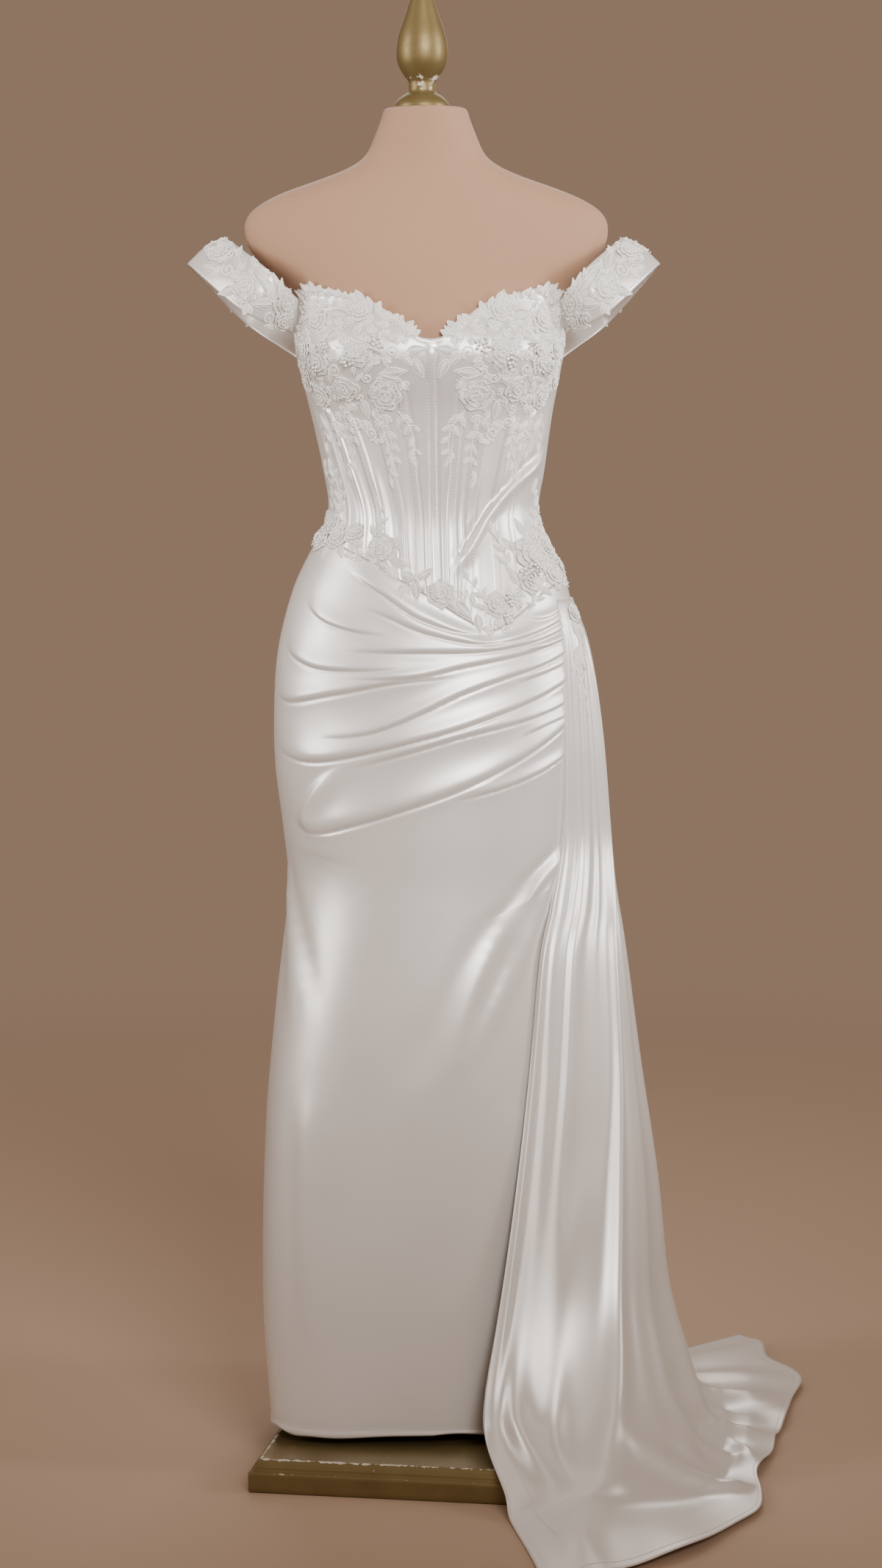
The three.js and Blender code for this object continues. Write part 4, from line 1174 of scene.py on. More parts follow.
# finer pleats of the head: width, depth, place across at the hip and at their end, how far down they end
HEAD_PLEATS = (
    (0.014, 2.6, 0.06, 0.05, 0.5),
    (0.014, 2.8, 0.165, 0.13, 0.55),
    (0.015, 2.6, 0.29, 0.25, 0.45),
    (0.015, 2.6, 0.36, 0.33, 0.5),
    (0.014, 2.4, 0.48, 0.46, 0.5),
    (0.015, 2.4, 0.59, 0.57, 0.5),
    (0.015, 2.4, 0.75, 0.74, 0.5),
    (0.015, 2.2, 0.86, 0.86, 0.5),
)
# breaks of the cloth where it turns onto the floor: across, down, across width, down width, slant, depth
BREAKS = (
    (0.066, 0.70, 0.026, 0.075, 0.1, 17),
    (0.118, 0.70, 0.018, 0.075, -0.3, -7),
    (0.285, 0.83, 0.022, 0.095, 0.45, 13),
    (0.340, 0.83, 0.018, 0.085, 0.45, -5),
    (0.41, 0.84, 0.022, 0.105, 0.25, 13),
    (0.470, 0.83, 0.020, 0.085, 0.2, -5),
    (0.54, 0.85, 0.024, 0.100, 0.1, 13),
    (0.63, 0.85, 0.026, 0.090, 0.0, 11),
    (0.73, 0.87, 0.028, 0.090, 0.0, 10),
    (0.85, 0.86, 0.028, 0.080, -0.2, 9),
    (0.33, 0.93, 0.014, 0.050, 0.6, 6),
    (0.47, 0.93, 0.014, 0.050, -0.5, 6),
)
print("rings:", len(DRAPE_RINGS), "pleats:", len(PLEATS) + len(HEAD_PLEATS), "breaks:", len(BREAKS))

# %% Surface of the drape
RING_SHARE = np.arange(len(DRAPE_RINGS)) / (len(DRAPE_RINGS) - 1)
# how far down the drape reaches the floor
FLOOR_SHARE = 12 / 14
# how deep the cloth sinks between pleats, how much wider they grow on the floor, how softly they rest on
# it, and the ripple of the hem
PLEATS_SINK, PLEATS_OPEN, FLOOR_SOFTNESS, HEM_RIPPLE = 4, 1.7, 6, 7.0
drape_height, drape_from, drape_to, *drape_radii = (
    smooth_curve(RING_SHARE, [row[k] for row in DRAPE_RINGS]) for k in range(8)
)


def across_curve(values, x):
    """A smooth curve through values at five even shares."""
    x = np.clip(x, 0, 1)
    i = np.clip((x * 4).astype(int), 0, 3)
    t = x * 4 - i
    rest = 1 - t
    stack = np.stack(values)
    slope = np.stack([stack[min(k + 1, 4)] - stack[max(k - 1, 0)] for k in range(5)])
    slope[1:4] = slope[1:4] / 2

    def pick(rows, k):
        return np.take_along_axis(rows, k[None], 0)[0]

    ends = pick(stack, i) * rest**2 * (1 + 2 * t) + pick(stack, i + 1) * t**2 * (3 - 2 * t)
    return ends + t * rest * (pick(slope, i) * rest - pick(slope, i + 1) * t)


# points and dips of the hem: across, width, reach
HEM_SHAPE = (
    (0.16, 0.06, 6),
    (0.30, 0.04, 8),
    (0.41, 0.04, -9),
    (0.52, 0.04, 4),
    (0.815, 0.05, 18),
    (0.90, 0.035, -16),
)


def plain_drape(across, down):
    across, down = np.broadcast_arrays(np.asarray(across, float), np.asarray(down, float))
    radius = across_curve([curve(down) for curve in drape_radii], across)
    for at, width, reach in HEM_SHAPE:
        radius = radius + reach * bump(across - at, width) * smoothstep(down, 0.84, 1.0)
    turn = np.radians(lerp(drape_from(down), drape_to(down), np.clip(across, 0, 1)))
    return np.stack([np.sin(turn) * radius, -np.cos(turn) * radius, drape_height(down)], -1) + DRESS_AXIS


print("middle of the plain hem:", np.round(plain_drape(0.5, 1.0), 1))

# %% Folds of the drape


def drape_fold(across, down):
    across, down = np.broadcast_arrays(np.asarray(across, float), np.asarray(down, float))
    hanging = smoothstep(down, 0, 0.12) * np.minimum(1, 0.35 + down)
    lying = smoothstep(down, FLOOR_SHARE - 0.1, FLOOR_SHARE)
    edges = smoothstep(across, 0, 0.06) * smoothstep(1 - across, 0, 0.06)
    opened = lerp(1.0, PLEATS_OPEN, smoothstep(down, 0.66, 0.86))
    lift = np.zeros(across.shape)
    for (width, depth, places), strength in zip(PLEATS, PLEAT_STRENGTH):
        beside = across - smooth_curve(PLEAT_STATIONS, places)(down)
        lift += depth * smooth_curve(PLEAT_STATIONS, strength)(down) * bump(beside, width * opened)
    for width, depth, high, low, fade in HEAD_PLEATS:
        beside = across - lerp(high, low, down / fade)
        lift += depth * bump(beside, width * lerp(1.0, 1.8, down)) * (1 - smoothstep(down, 0.6 * fade, fade))
    lift -= PLEATS_SINK * (1 - lying)
    for at, at_down, width, reach, slant, depth in BREAKS:
        lift += depth * bump(across - at - slant * (down - at_down), width) * bump(down - at_down, reach)
    lift = lift * lerp(1.0, smoothstep(1 - down, -0.05, 0.08), lying)
    ripple = 0.5 + 0.5 * np.sin(across * 37 + 2.2 * np.sin(across * 11))
    hem = HEM_RIPPLE * ripple * smoothstep(down, 0.84, 1.0)
    lift = lift + hem
    above_floor = 0.5 * (lift + np.sqrt(lift**2 + FLOOR_SOFTNESS**2))
    lift = lerp(lift, above_floor, smoothstep(down, FLOOR_SHARE - 0.12, FLOOR_SHARE))
    roll = 3.2 * bump(across - 0.018, 0.012) * smoothstep(down, 0.04, 0.15)
    roll = roll * (1 - smoothstep(down, 0.62, 0.8))
    return lift * hanging * edges + roll


def on_drape(across, down, out=0.0):
    def upwards(u, v):
        return plain_drape(u, 1 - v)

    across, down = np.broadcast_arrays(np.asarray(across, float), np.asarray(down, float))
    u = np.clip(across, 0.001, 0.999)
    v = np.clip(1 - down, 0.001, 0.999)
    normal = outward(upwards, u, v, (4e-3, 0.06))
    return plain_drape(across, down) + normal * (drape_fold(across, down) + out)[..., None]


print("middle of the hem:", np.round(on_drape(0.5, 1.0), 1))

# %% Build the drape
DRAPE_COLUMNS = np.linspace(0, 1, 180)
DRAPE_ROWS = np.concatenate([np.linspace(1, 0.72, 84)[:-1], np.linspace(0.72, 0, 84)])
# thickness of the satin, and how far its underside stays above the floor
DRAPE_WALL, DRAPE_CLEAR = 1.6, 0.4


def drape_grid(out):
    return on_drape(DRAPE_COLUMNS[None, :], DRAPE_ROWS[:, None], out)


drape_out = drape_grid(0.0)
drape_in = drape_grid(-DRAPE_WALL)
drape_in[..., 2] = np.maximum(drape_in[..., 2], DRAPE_CLEAR)
drape = shell("drape_and_train", drape_out, drape_in, SATIN, False)
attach(drape, "root")
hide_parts("drape_train")
print("drape:", triangles(drape), "triangles")

# %% [markdown]
# ## Off-shoulder sleeves
# Each sleeve is an open band of satin that leaves the bodice beside the cup, stands out round the arm and
# comes back behind. It is lofted between its two edges, with a slight belly across, and it stays open
# so that the inside of its back half shows under the front one.

# %% Sleeve bands
# columns: share along the band, upper edge x y z, lower edge x y z, for the wearer's left
SLEEVE_STATIONS = (
    (0.22, (172, -58, 1316), (198, -64, 1270)),
    (0.50, (220, 8, 1354), (262, 4, 1326)),
    (0.78, (182, 66, 1312), (206, 72, 1264)),
)
# angle and height on the bodice of the front end's edges and the back end's edges
SLEEVE_ENDS = ((66, 1284), (82, 1249), (124, 1230), (100, 1222))
# belly across a band, shift of both bands to the wearer's right, and how far their ends stand off the bodice
SLEEVE_BULGE, SLEEVE_SHIFT, SLEEVE_OFF = 4, -8, 2.3


def sleeve_edges(side):
    def seat(angle, height):
        x, y, z = on_bodice(side * angle, height, SLEEVE_OFF) - DRESS_AXIS
        return side * x, y, z

    front_up, front_low, back_up, back_low = (seat(*end) for end in SLEEVE_ENDS)
    stations = ((0.0, front_up, front_low), *SLEEVE_STATIONS, (1.0, back_up, back_low))
    share = [row[0] for row in stations]
    return [[smooth_curve(share, [row[edge][k] for row in stations]) for k in range(3)] for edge in (1, 2)]


SLEEVE_EDGES = {side: sleeve_edges(side) for side in (1, -1)}


def on_sleeve(side, share, across, out=0.0):
    """A point of a sleeve, from its front end round to the back and from its lower edge up."""
    upper, lower = SLEEVE_EDGES[side]

    def plain(u, v):
        low = np.stack([curve(u) for curve in lower], -1)
        high = np.stack([curve(u) for curve in upper], -1)
        return low + (high - low) * v[..., None]

    share, across = np.broadcast_arrays(np.asarray(share, float), np.asarray(across, float))
    normal = outward(plain, np.clip(share, 0.001, 0.999), across, (1e-3, 1e-3))
    belly = SLEEVE_BULGE * np.sin(np.pi * np.clip(across, 0, 1))
    crease = 0.9 * np.sin(share * 23 + across * 3) * np.sin(np.pi * np.clip(across, 0, 1))
    crease = crease * smoothstep(share, 0.05, 0.2) * (1 - smoothstep(share, 0.8, 0.95))
    point = plain(share, across) + normal * np.asarray(belly + crease + out)[..., None]
    point[..., 0] = point[..., 0] * side + SLEEVE_SHIFT * np.sin(np.pi * share)
    return point + DRESS_AXIS


def sleeve(name, side):
    share = np.linspace(0, 1, 110)
    share = share if side > 0 else share[::-1]
    across = np.linspace(0, 1, 22)[:, None]
    outside = on_sleeve(side, share[None, :], across)
    inside = on_sleeve(side, share[None, :], across, -CLOTH)
    made = shell(name, outside, inside, SATIN, False)
    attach(made, "root")
    print(name + ":", triangles(made), "triangles")
    return made


sleeve_right = sleeve("sleeve_band_right", -1)
sleeve_left = sleeve("sleeve_band_left", 1)
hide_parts("sleeve_right")
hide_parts("sleeve_left")

# %% [markdown]
# ## Lace applique
# The lace is embroidered: roses, leaves, scrolls and trailing sprigs, each outlined by a raised cord and
# sewn with beads and sequins. It is cut out along its outlines and laid over the bust, the lower edge,
# the sleeves and the head of the drape. A flat texture would look printed, so every petal and leaf is a
# small domed blade of its own. A motif is drawn flat in millimetres and then laid on the dress: its middle
# is a place on the surface, and every point follows the surface from there.

# %% One blade, drawn flat
BLADE_ALONG = np.linspace(0, 1, 7)
BLADE_ASIDE = np.linspace(-1, 1, 5)


def blade_faces():
    """The top of a blade as a grid of quads, closed by one face underneath."""
    wide = len(BLADE_ASIDE)
    last = len(BLADE_ALONG) - 1
    faces = []
    for i in range(last):
        for j in range(wide - 1):
            a = i * wide + j
            faces.append((a, a + 1, a + wide + 1, a + wide))
    left = [i * wide for i in range(last + 1)]
    tip = [last * wide + j for j in range(1, wide - 1)]
    right = [i * wide + wide - 1 for i in range(last, -1, -1)]
    foot = [j for j in range(wide - 2, 0, -1)]
    faces.append(tuple(left + tip + right + foot))
    return faces


BLADE_FACES = blade_faces()
BLADE_POINTS = len(BLADE_ALONG) * len(BLADE_ASIDE)


def blade_points(length, width, roundness, dome, lift):
    """A leaf for low roundness and a petal for high: domed across, with its tip lifted off the cloth."""
    t, s = np.meshgrid(BLADE_ALONG, BLADE_ASIDE, indexing="ij")
    belly = np.sin(np.pi * np.clip(t, 0, 1) ** lerp(0.72, 1.5, roundness)) ** lerp(1.0, 0.55, roundness)
    half = width / 2 * np.maximum(belly, 0.06)
    vein = 0.35 * bump(s, 0.2) * np.sin(np.pi * t)
    z = 0.3 + dome * (1 - s**2) * (0.2 + 0.8 * np.sin(np.pi * t)) - vein + lift * t**2
    return np.stack([s * half, t * length, z], -1).reshape(-1, 3)


def turn_flat(points, compass, at=(0.0, 0.0), rise=0.0):
    """Turns flat points clockwise from straight up, then moves them."""
    turn = math.radians(compass)
    points = np.asarray(points, float)
    x = points[:, 0] * math.cos(turn) + points[:, 1] * math.sin(turn) + at[0]
    y = points[:, 1] * math.cos(turn) - points[:, 0] * math.sin(turn) + at[1]
    return np.stack([x, y, points[:, 2] + rise], -1)


print("one blade:", BLADE_POINTS, "points and", len(BLADE_FACES), "faces")

# %% A patch of lace, laid on a surface


class LacePatch:
    """Collects motifs in their own flat millimetres, then lays them all on one surface at once."""

    def __init__(self, name, surface, plain, step):
        self.name, self.surface, self.plain, self.step = name, surface, plain, step
        self.centres = []
        self.layers = {"blade": [], "cord": [], "bead": [], "sequin": []}
        self.cord_runs = []
        self.sizes = {"bead": [], "sequin": []}

    def motif(self, u, v):
        self.centres.append((u, v))

    def keep(self, layer, points):
        points = np.asarray(points, float).reshape(-1, 3)
        owner = np.full((len(points), 1), len(self.centres) - 1)
        self.layers[layer].append(np.hstack([points, owner]))

    def cord(self, points, closed=False):
        self.keep("cord", points)
        self.cord_runs.append((len(points), closed))

    def bead(self, x, y, z, radius):
        self.keep("bead", (x, y, z))
        self.sizes["bead"].append(radius)

    def sequin(self, x, y, z, radius):
        self.keep("sequin", (x, y, z))
        self.sizes["sequin"].append(radius)

    def blade(
        self, length, width, roundness, compass, at=(0.0, 0.0), rise=0.0, dome=0.9, lift=0.0, vein=True
    ):
        points = blade_points(length, width, roundness, dome, lift)
        self.keep("blade", turn_flat(points, compass, at, rise))
        wide = len(BLADE_ASIDE)
        grid = points.reshape(-1, wide, 3)
        outline = np.concatenate([grid[:, 0], grid[::-1, -1]])
        self.cord(turn_flat(outline + (0, 0, 0.25), compass, at, rise), True)
        if vein:
            self.cord(turn_flat(grid[1:6, wide // 2] + (0, 0, 0.15), compass, at, rise))

    def laid(self, layer):
        """Points of one layer on the dress, and the outward direction at each."""
        if not self.layers[layer]:
            return np.zeros((0, 3)), np.zeros((0, 3))
        flat = np.concatenate(self.layers[layer])
        centre = np.array(self.centres, float)
        du, dv = self.step
        u, v = centre[:, 0], centre[:, 1]
        wide = np.linalg.norm(self.plain(u + du, v) - self.plain(u - du, v), axis=-1) / (2 * du)
        high = np.linalg.norm(self.plain(u, v + dv) - self.plain(u, v - dv), axis=-1) / (2 * dv)
        owner = flat[:, 3].astype(int)
        at_u = u[owner] + flat[:, 0] / wide[owner]
        at_v = v[owner] + flat[:, 1] / high[owner]
        normal = outward(self.plain, at_u, at_v, self.step)
        return self.surface(at_u, at_v) + normal * flat[:, 2:3], normal


print("layers of a patch:", list(LacePatch("sample", on_figure, on_figure, (0.4, 0.8)).layers))

# %% [markdown]
# ## The motifs
# Six motifs make the whole pattern: a leaf, a rose of three rings of petals, a scroll, a sprig of leaves
# on a bent stem, a small bud that fills gaps, and a cluster of sequins. Such motifs are common to bridal
# lace everywhere. Every motif takes its patch, its size, the compass direction that it points in and the
# hand that it curls to, which only the scroll and the sprig need.

# %% Leaf and rose
# columns: petals in the ring, length and width as shares of the rose, rise, lift of the tips
ROSE_RINGS = ((6, 0.5, 0.46, 0.0, 1.5), (5, 0.33, 0.36, 1.2, 1.5), (3, 0.18, 0.24, 2.4, 1.0))


def leaf(patch, size, compass, hand=1):
    foot = turn_flat([(0, -size / 2, 0)], compass)[0]
    patch.blade(size, 0.44 * size, 0.0, compass, foot[:2], dome=1.3)


def rose(patch, size, compass, hand=1):
    for ring, (count, length, width, rise, lift) in enumerate(ROSE_RINGS):
        for k in range(count):
            spin = compass + 360 * (k + 0.37 * ring) / count
            petal = {"rise": rise + 0.25 * (k % 2), "dome": 0.8, "lift": lift, "vein": ring == 0}
            patch.blade(length * size, width * size, 0.85, spin, **petal)
    patch.bead(0, 0, 4.0, 1.5)
    for k in range(6):
        turn = math.radians(compass + 60 * k)
        patch.bead(0.13 * size * math.sin(turn), 0.13 * size * math.cos(turn), 3.9, 0.9)
    for k in range(3):
        turn = math.radians(compass + 120 * k + 40)
        patch.sequin(0.36 * size * math.sin(turn), 0.36 * size * math.cos(turn), 3.4, 1.7)


print("petals of a rose:", sum(row[0] for row in ROSE_RINGS))

# %% Scroll, sprig, bud and sequins
# columns: turn, share of the bud's length, rise
BUD_PETALS = ((-42, 0.8, 0.0), (0, 1.0, 0.3), (42, 0.8, 0.0))


def scroll(patch, size, compass, hand=1):
    share = np.linspace(0, 1, 22)
    turn = hand * share * math.radians(520)
    radius = size / 2 * (1 - 0.86 * share)
    x = radius * np.sin(turn) - hand * 0.1 * size * (1 - share)
    y = radius * np.cos(turn)
    for rise, scale in ((0.8, 1.0), (0.8, 0.86)):
        patch.cord(turn_flat(np.stack([x * scale, y * scale, np.full_like(x, rise)], -1), compass))
    patch.bead(0, 0, 1.2, 1.5)
    tail = turn_flat([(hand * 0.2 * size, 0.5 * size, 0)], compass)[0]
    patch.blade(0.8 * size, 0.3 * size, 0.1, compass + hand * 100, tail[:2])


def sprig(patch, size, compass, hand=1):
    """A bent stem with leaves on both sides that grow smaller towards the tip."""
    share = np.linspace(0, 1, 12)
    bend = hand * 0.12 * size * np.sin(np.pi * share * 1.15)
    stem = np.stack([bend, share * size, np.full_like(share, 0.9)], -1)
    patch.cord(turn_flat(stem, compass))
    pairs = max(2, int(size / 13))
    for k in range(pairs):
        at = (k + 0.45) / (pairs + 0.25)
        x = float(np.interp(at, share, bend))
        spot = turn_flat([(x, at * size, 0)], compass)[0]
        long = lerp(15.5, 9.5, at)
        for side in (-1, 1):
            if (k + (side > 0)) % 3 != 2 or at < 0.5:
                patch.blade(long, 0.42 * long, 0.05, compass + side * (38 + 8 * (k % 2)), spot[:2], dome=1.1)
        patch.bead(spot[0], spot[1], 1.9, 1.0)
    tip = turn_flat([(bend[-1], 0.93 * size, 0)], compass)[0]
    patch.blade(13, 5.4, 0.0, compass + hand * 8, tip[:2], dome=1.1)


def bud(patch, size, compass, hand=1):
    for turn, share, rise in BUD_PETALS:
        patch.blade(share * size, 0.42 * size, 0.4, compass + turn, rise=rise, dome=0.9, vein=False)
    patch.bead(0, 0, 1.6, 1.1)


def sequins_cluster(patch, size, compass, hand=1):
    """Sequins in a loose spiral, as they are sewn over a thick part of the lace."""
    for k in range(11):
        turn = math.radians(compass + 137.5 * k)
        reach = size / 2 * math.sqrt((k + 0.3) / 11)
        patch.sequin(reach * math.sin(turn), reach * math.cos(turn), 4.4 + 0.3 * (k % 3), 2.3)


MOTIFS = {
    "leaf": leaf,
    "rose": rose,
    "scroll": scroll,
    "sprig": sprig,
    "bud": bud,
    "sequins": sequins_cluster,
}
print("motifs:", list(MOTIFS))

# %% Laying listed motifs, and motifs in the gaps


def lay_table(patch, rows, side=1):
    """Rows of motif, place across, place up, size and compass direction; side -1 mirrors them."""
    for kind, u, v, size, compass in rows:
        patch.motif(side * u, v)
        MOTIFS[kind](patch, size, side * compass, side)


# columns: motif that fills a gap, chance, size
FILLING = (("bud", 0.45, 10.5), ("leaf", 0.33, 14.0), ("scroll", 0.22, 9.5))
GAP_TRIES = 2600


def fill_gaps(patch, allowed, low, high, spacing, scale, seed, flow):
    """Buds, leaves and scrolls in the gaps of a patch, at least a spacing apart, from a fixed seed."""
    dice = np.random.default_rng(seed)
    stretch = np.array(scale)
    taken = [np.array(centre) * stretch for centre in patch.centres]
    clear = [1.15 * spacing] * len(taken)
    placed = 0
    for u, v in dice.uniform(low, high, (GAP_TRIES, 2)):
        spot = np.array((u, v)) * stretch
        if not allowed(u, v) or any(np.hypot(*(spot - other)) < gap for other, gap in zip(taken, clear)):
            continue
        taken.append(spot)
        clear.append(spacing)
        patch.motif(u, v)
        kind = dice.choice([row[0] for row in FILLING], p=[row[1] for row in FILLING])
        size = {row[0]: row[2] for row in FILLING}[kind] * dice.uniform(0.85, 1.2)
        MOTIFS[kind](patch, size, flow(u, v) + dice.uniform(-70, 70), int(dice.choice([-1, 1])))
        if dice.random() < 0.35:
            patch.sequin(dice.uniform(-3, 3), dice.uniform(-3, 3), 2.3, dice.uniform(1.3, 2.0))
        for _ in range(dice.integers(1, 4)):
            patch.bead(dice.uniform(-6, 6), dice.uniform(-6, 6), 1.3, dice.uniform(0.7, 1.1))
        placed += 1
    return placed


print("chances of the filling:", FILLING)

# %% [markdown]
# ## Where the lace lies
# The two bust patches mirror each other. Roses cover the cups, leaves stand up past the neckline, and
# sprigs trail down over the bones. The lower edge is not symmetric: a band follows the slanting waistline,
# with a tall cluster on the wearer's left hip whose tail runs down over the head of the drape.

# %% Motifs of the bust
# columns: motif, degrees from the front centre, height, size, compass direction; for the wearer's left
BUST_MOTIFS = (
    ("rose", 20, 1180, 36, 20),
    ("leaf", 15, 1204, 27, -82),
    ("leaf", 17, 1199, 24, -108),
    ("scroll", 15, 1226, 17, 200),
    ("leaf", 8, 1247, 19, -40),
    ("leaf", 11, 1253, 17, 6),
    ("leaf", 60, 1291, 17, 50),
    ("leaf", 20, 1268, 18, 60),
    ("leaf", 5.5, 1228, 24, -80),
    ("leaf", 5, 1208, 23, -155),
    ("leaf", 9.5, 1217, 17, -140),
    ("rose", 29, 1271, 28, 50),
    ("leaf", 40, 1267, 32, 78),
    ("rose", 29, 1226, 32, 10),
    ("leaf", 41, 1244, 26, 120),
    ("rose", 52, 1262, 30, 0),
    ("rose", 50, 1216, 30, 35),
    ("rose", 39, 1187, 30, 70),
    ("rose", 63, 1232, 25, 15),
    ("rose", 58, 1178, 27, 60),
    ("leaf", 46, 1200, 20, 160),
    ("scroll", 41, 1207, 16, 150),
    ("rose", 70, 1196, 24, 15),
    ("scroll", 27, 1198, 14, 40),
    ("leaf", 31, 1165, 22, 190),
    ("sprig", 15.5, 1163, 58, 198),
    ("sprig", 27, 1158, 76, 192),
    ("scroll", 30, 1138, 16, 170),
    ("sprig", 45, 1156, 64, 178),
    ("scroll", 38, 1150, 15, 200),
    ("sprig", 64, 1160, 34, 176),
    ("sprig", 54, 1158, 42, 184),
    ("bud", 33, 1152, 13, 180),
    ("bud", 22, 1158, 13, 185),
    ("bud", 50, 1150, 13, 175),
    ("sequins", 21, 1233, 17, 0),
    ("sequins", 33, 1218, 15, 40),
    ("sequins", 54, 1210, 15, 80),
    ("sequins", 45, 1232, 14, 10),
)
print("motifs on each side of the bust:", len(BUST_MOTIFS))

# %% Bust patches


def in_bust(side):
    def allowed(u, v):
        angle = side * u
        beside_sleeve = 1289 - 2.7 * max(0.0, angle - 60)
        top = min(float(neckline(angle)) - 4, beside_sleeve)
        return 5 < angle < 79 and float(underwire_of(min(angle, 84))) - 6 < v < top

    return allowed


# leaves that stand up past the neckline: degrees, how far below the edge each starts, length, lean
EDGE_LEAVES = (
    (8.5, 7, 13, -64), (11, 7, 15, -48), (13.5, 7, 13, -28), (16.5, 8, 12, -54),
    (22, 7, 11, -26), (24.5, 7, 12, 14), (28, 9, 19, 16), (31, 8, 13, 44),
    (37, 7, 10, -32), (40, 7, 11, 22), (43.5, 7, 10, -14),
    (51, 8, 15, -44), (53.5, 8, 17, -20), (56.5, 8, 15, 8), (59, 9, 18, -32), (62, 9, 14, 34),
)


def leafy_edge(patch, side):
    """Clusters of pointed leaves over the neckline, with small beads along the plain satin between them."""
    for angle, below, length, lean in EDGE_LEAVES:
        patch.motif(side * angle, float(neckline(angle)) - below)
        patch.blade(length, 0.55 * length, 0.3, side * lean, dome=1.2, lift=1.2)
        patch.bead(0.0, 0.5, 1.6, 1.0)
    for angle in np.arange(10.0, 63.0, 2.6):
        patch.motif(side * angle, float(neckline(angle)) - 3.2)
        patch.bead(0.0, 0.0, 1.0, 0.8)


def bust_patch(side):
    name = "lace_bust_left" if side > 0 else "lace_bust_right"
    patch = LacePatch(name, bodice_skin, on_bodice, (0.4, 0.8))
    lay_table(patch, BUST_MOTIFS, side)
    ends = sorted((side * 5, side * 79))
    count = fill_gaps(
        patch,
        in_bust(side),
        (ends[0], 1150),
        (ends[1], 1298),
        9.2,
        (2.3, 1.0),
        11 + side,
        lambda u, v: side * (90 + 90 * math.tanh((1222 - v) / 40)),
    )
    leafy_edge(patch, side)
    print(name, "motifs:", len(BUST_MOTIFS), "by hand and", count, "in the gaps")
    return patch


bust_patches = {side: bust_patch(side) for side in (-1, 1)}

# %% The satin at the waist


def waist_skin(angle, height, out=0.0):
    """The satin on both sides of the waistline: the bodice above it and the skirt below."""
    angle, height = np.broadcast_arrays(np.asarray(angle, float), np.asarray(height, float))
    above = (height > waistline(angle))[..., None]
    below_skin = on_figure(angle, height, skirt_relief(angle, height) + out)
    return np.where(above, bodice_skin(angle, height, out), below_skin)


print("satin just below the front point:", np.round(waist_skin(24.0, 920.0), 1))

# %% Motifs of the waist
# columns: motif, degrees from the front centre, height, size, compass direction
WAIST_MOTIFS_RIGHT = (
    ("sprig", -31, 1022, 42, 4),
    ("rose", -24, 1013, 35, 0),
    ("leaf", -16, 1021, 22, 14),
    ("leaf", -21, 995, 24, 120),
    ("leaf", -26, 996, 19, 150),
    ("leaf", -14, 998, 24, 104),
    ("leaf", -17, 986, 20, 140),
    ("leaf", -9, 983, 22, 110),
    ("leaf", -2.5, 986, 22, 52),
    ("leaf", -6, 968, 24, 172),
    ("bud", -10, 974, 14, 200),
    ("rose", -55, 1026, 30, 0),
    ("rose", -43, 1030, 25, 40),
    ("leaf", -38, 1020, 20, 130),
    ("rose", -66, 1040, 27, 20),
    ("rose", -72, 1020, 26, 0),
    ("sprig", -62, 1046, 58, -4),
    ("sprig", -72, 1050, 52, -2),
    ("leaf", -84, 1030, 22, -20),
    ("rose", -88, 1024, 24, 0),
    ("leaf", -48, 1010, 18, 150),
    ("leaf", -60, 1008, 18, 190),
)
WAIST_MOTIFS_LEFT = (
    ("rose", 4, 965, 31, 0),
    ("scroll", 12, 963, 20, 60),
    ("leaf", 9, 952, 22, 130),
    ("leaf", 13, 946, 28, 140),
    ("sprig", 22, 940, 46, -20),
    ("leaf", 19, 932, 21, 172),
    ("rose", 27, 953, 29, 0),
    ("scroll", 26, 934, 17, 180),
    ("leaf", 33, 946, 18, 60),
    ("leaf", 34, 966, 18, 20),
    ("rose", 54, 1006, 46, 10),
    ("leaf", 41, 1017, 21, -40),
    ("sprig", 35, 990, 46, -8),
    ("rose", 47, 977, 31, 0),
    ("rose", 66, 984, 31, 0),
    ("leaf", 38, 984, 22, -20),
    ("leaf", 60, 1040, 25, 4),
    ("sprig", 66, 1030, 54, 6),
    ("leaf", 52, 1036, 22, -24),
    ("rose", 72, 1014, 30, 0),
    ("rose", 84, 992, 28, 0),
    ("sprig", 80, 1020, 46, -4),
    ("leaf", 56, 966, 20, 120),
    ("scroll", 62, 1022, 16, 0),
    ("sequins", 46, 984, 20, 0),
    ("sequins", 52, 990, 18, 70),
    ("sequins", 34, 958, 14, 30),
    ("sequins", 32, 938, 12, 50),
)
# columns: degrees from the front centre, how far the lace climbs above the waistline and hangs below it
WAIST_LACE = (
    (-94, 30, 10), (-66, 28, 10), (-46, 18, 8), (-28, 20, 8), (-14, 12, 8), (2, 10, 8),
    (14, 14, 8), (26, 22, 8), (38, 36, 8), (52, 58, 7), (70, 64, 7), (94, 44, 7),
)
waist_climb = table_curve(WAIST_LACE, 1)
waist_hang = table_curve(WAIST_LACE, 2)
print("motifs of the waist:", len(WAIST_MOTIFS_RIGHT) + len(WAIST_MOTIFS_LEFT))

# %% Waist patches


def waist_patch(name, rows, low, high, seed):
    patch = LacePatch(name, waist_skin, on_bodice, (0.4, 0.8))
    lay_table(patch, rows)

    def allowed(u, v):
        line = float(waistline(u))
        return line - float(waist_hang(u)) + 3 < v < line + float(waist_climb(u)) - 3

    count = fill_gaps(patch, allowed, (low, 920), (high, 1062), 9.6, (2.1, 1.0), seed, lambda u, v: 90.0)
    print(name, "motifs:", len(rows), "by hand and", count, "in the gaps")
    return patch


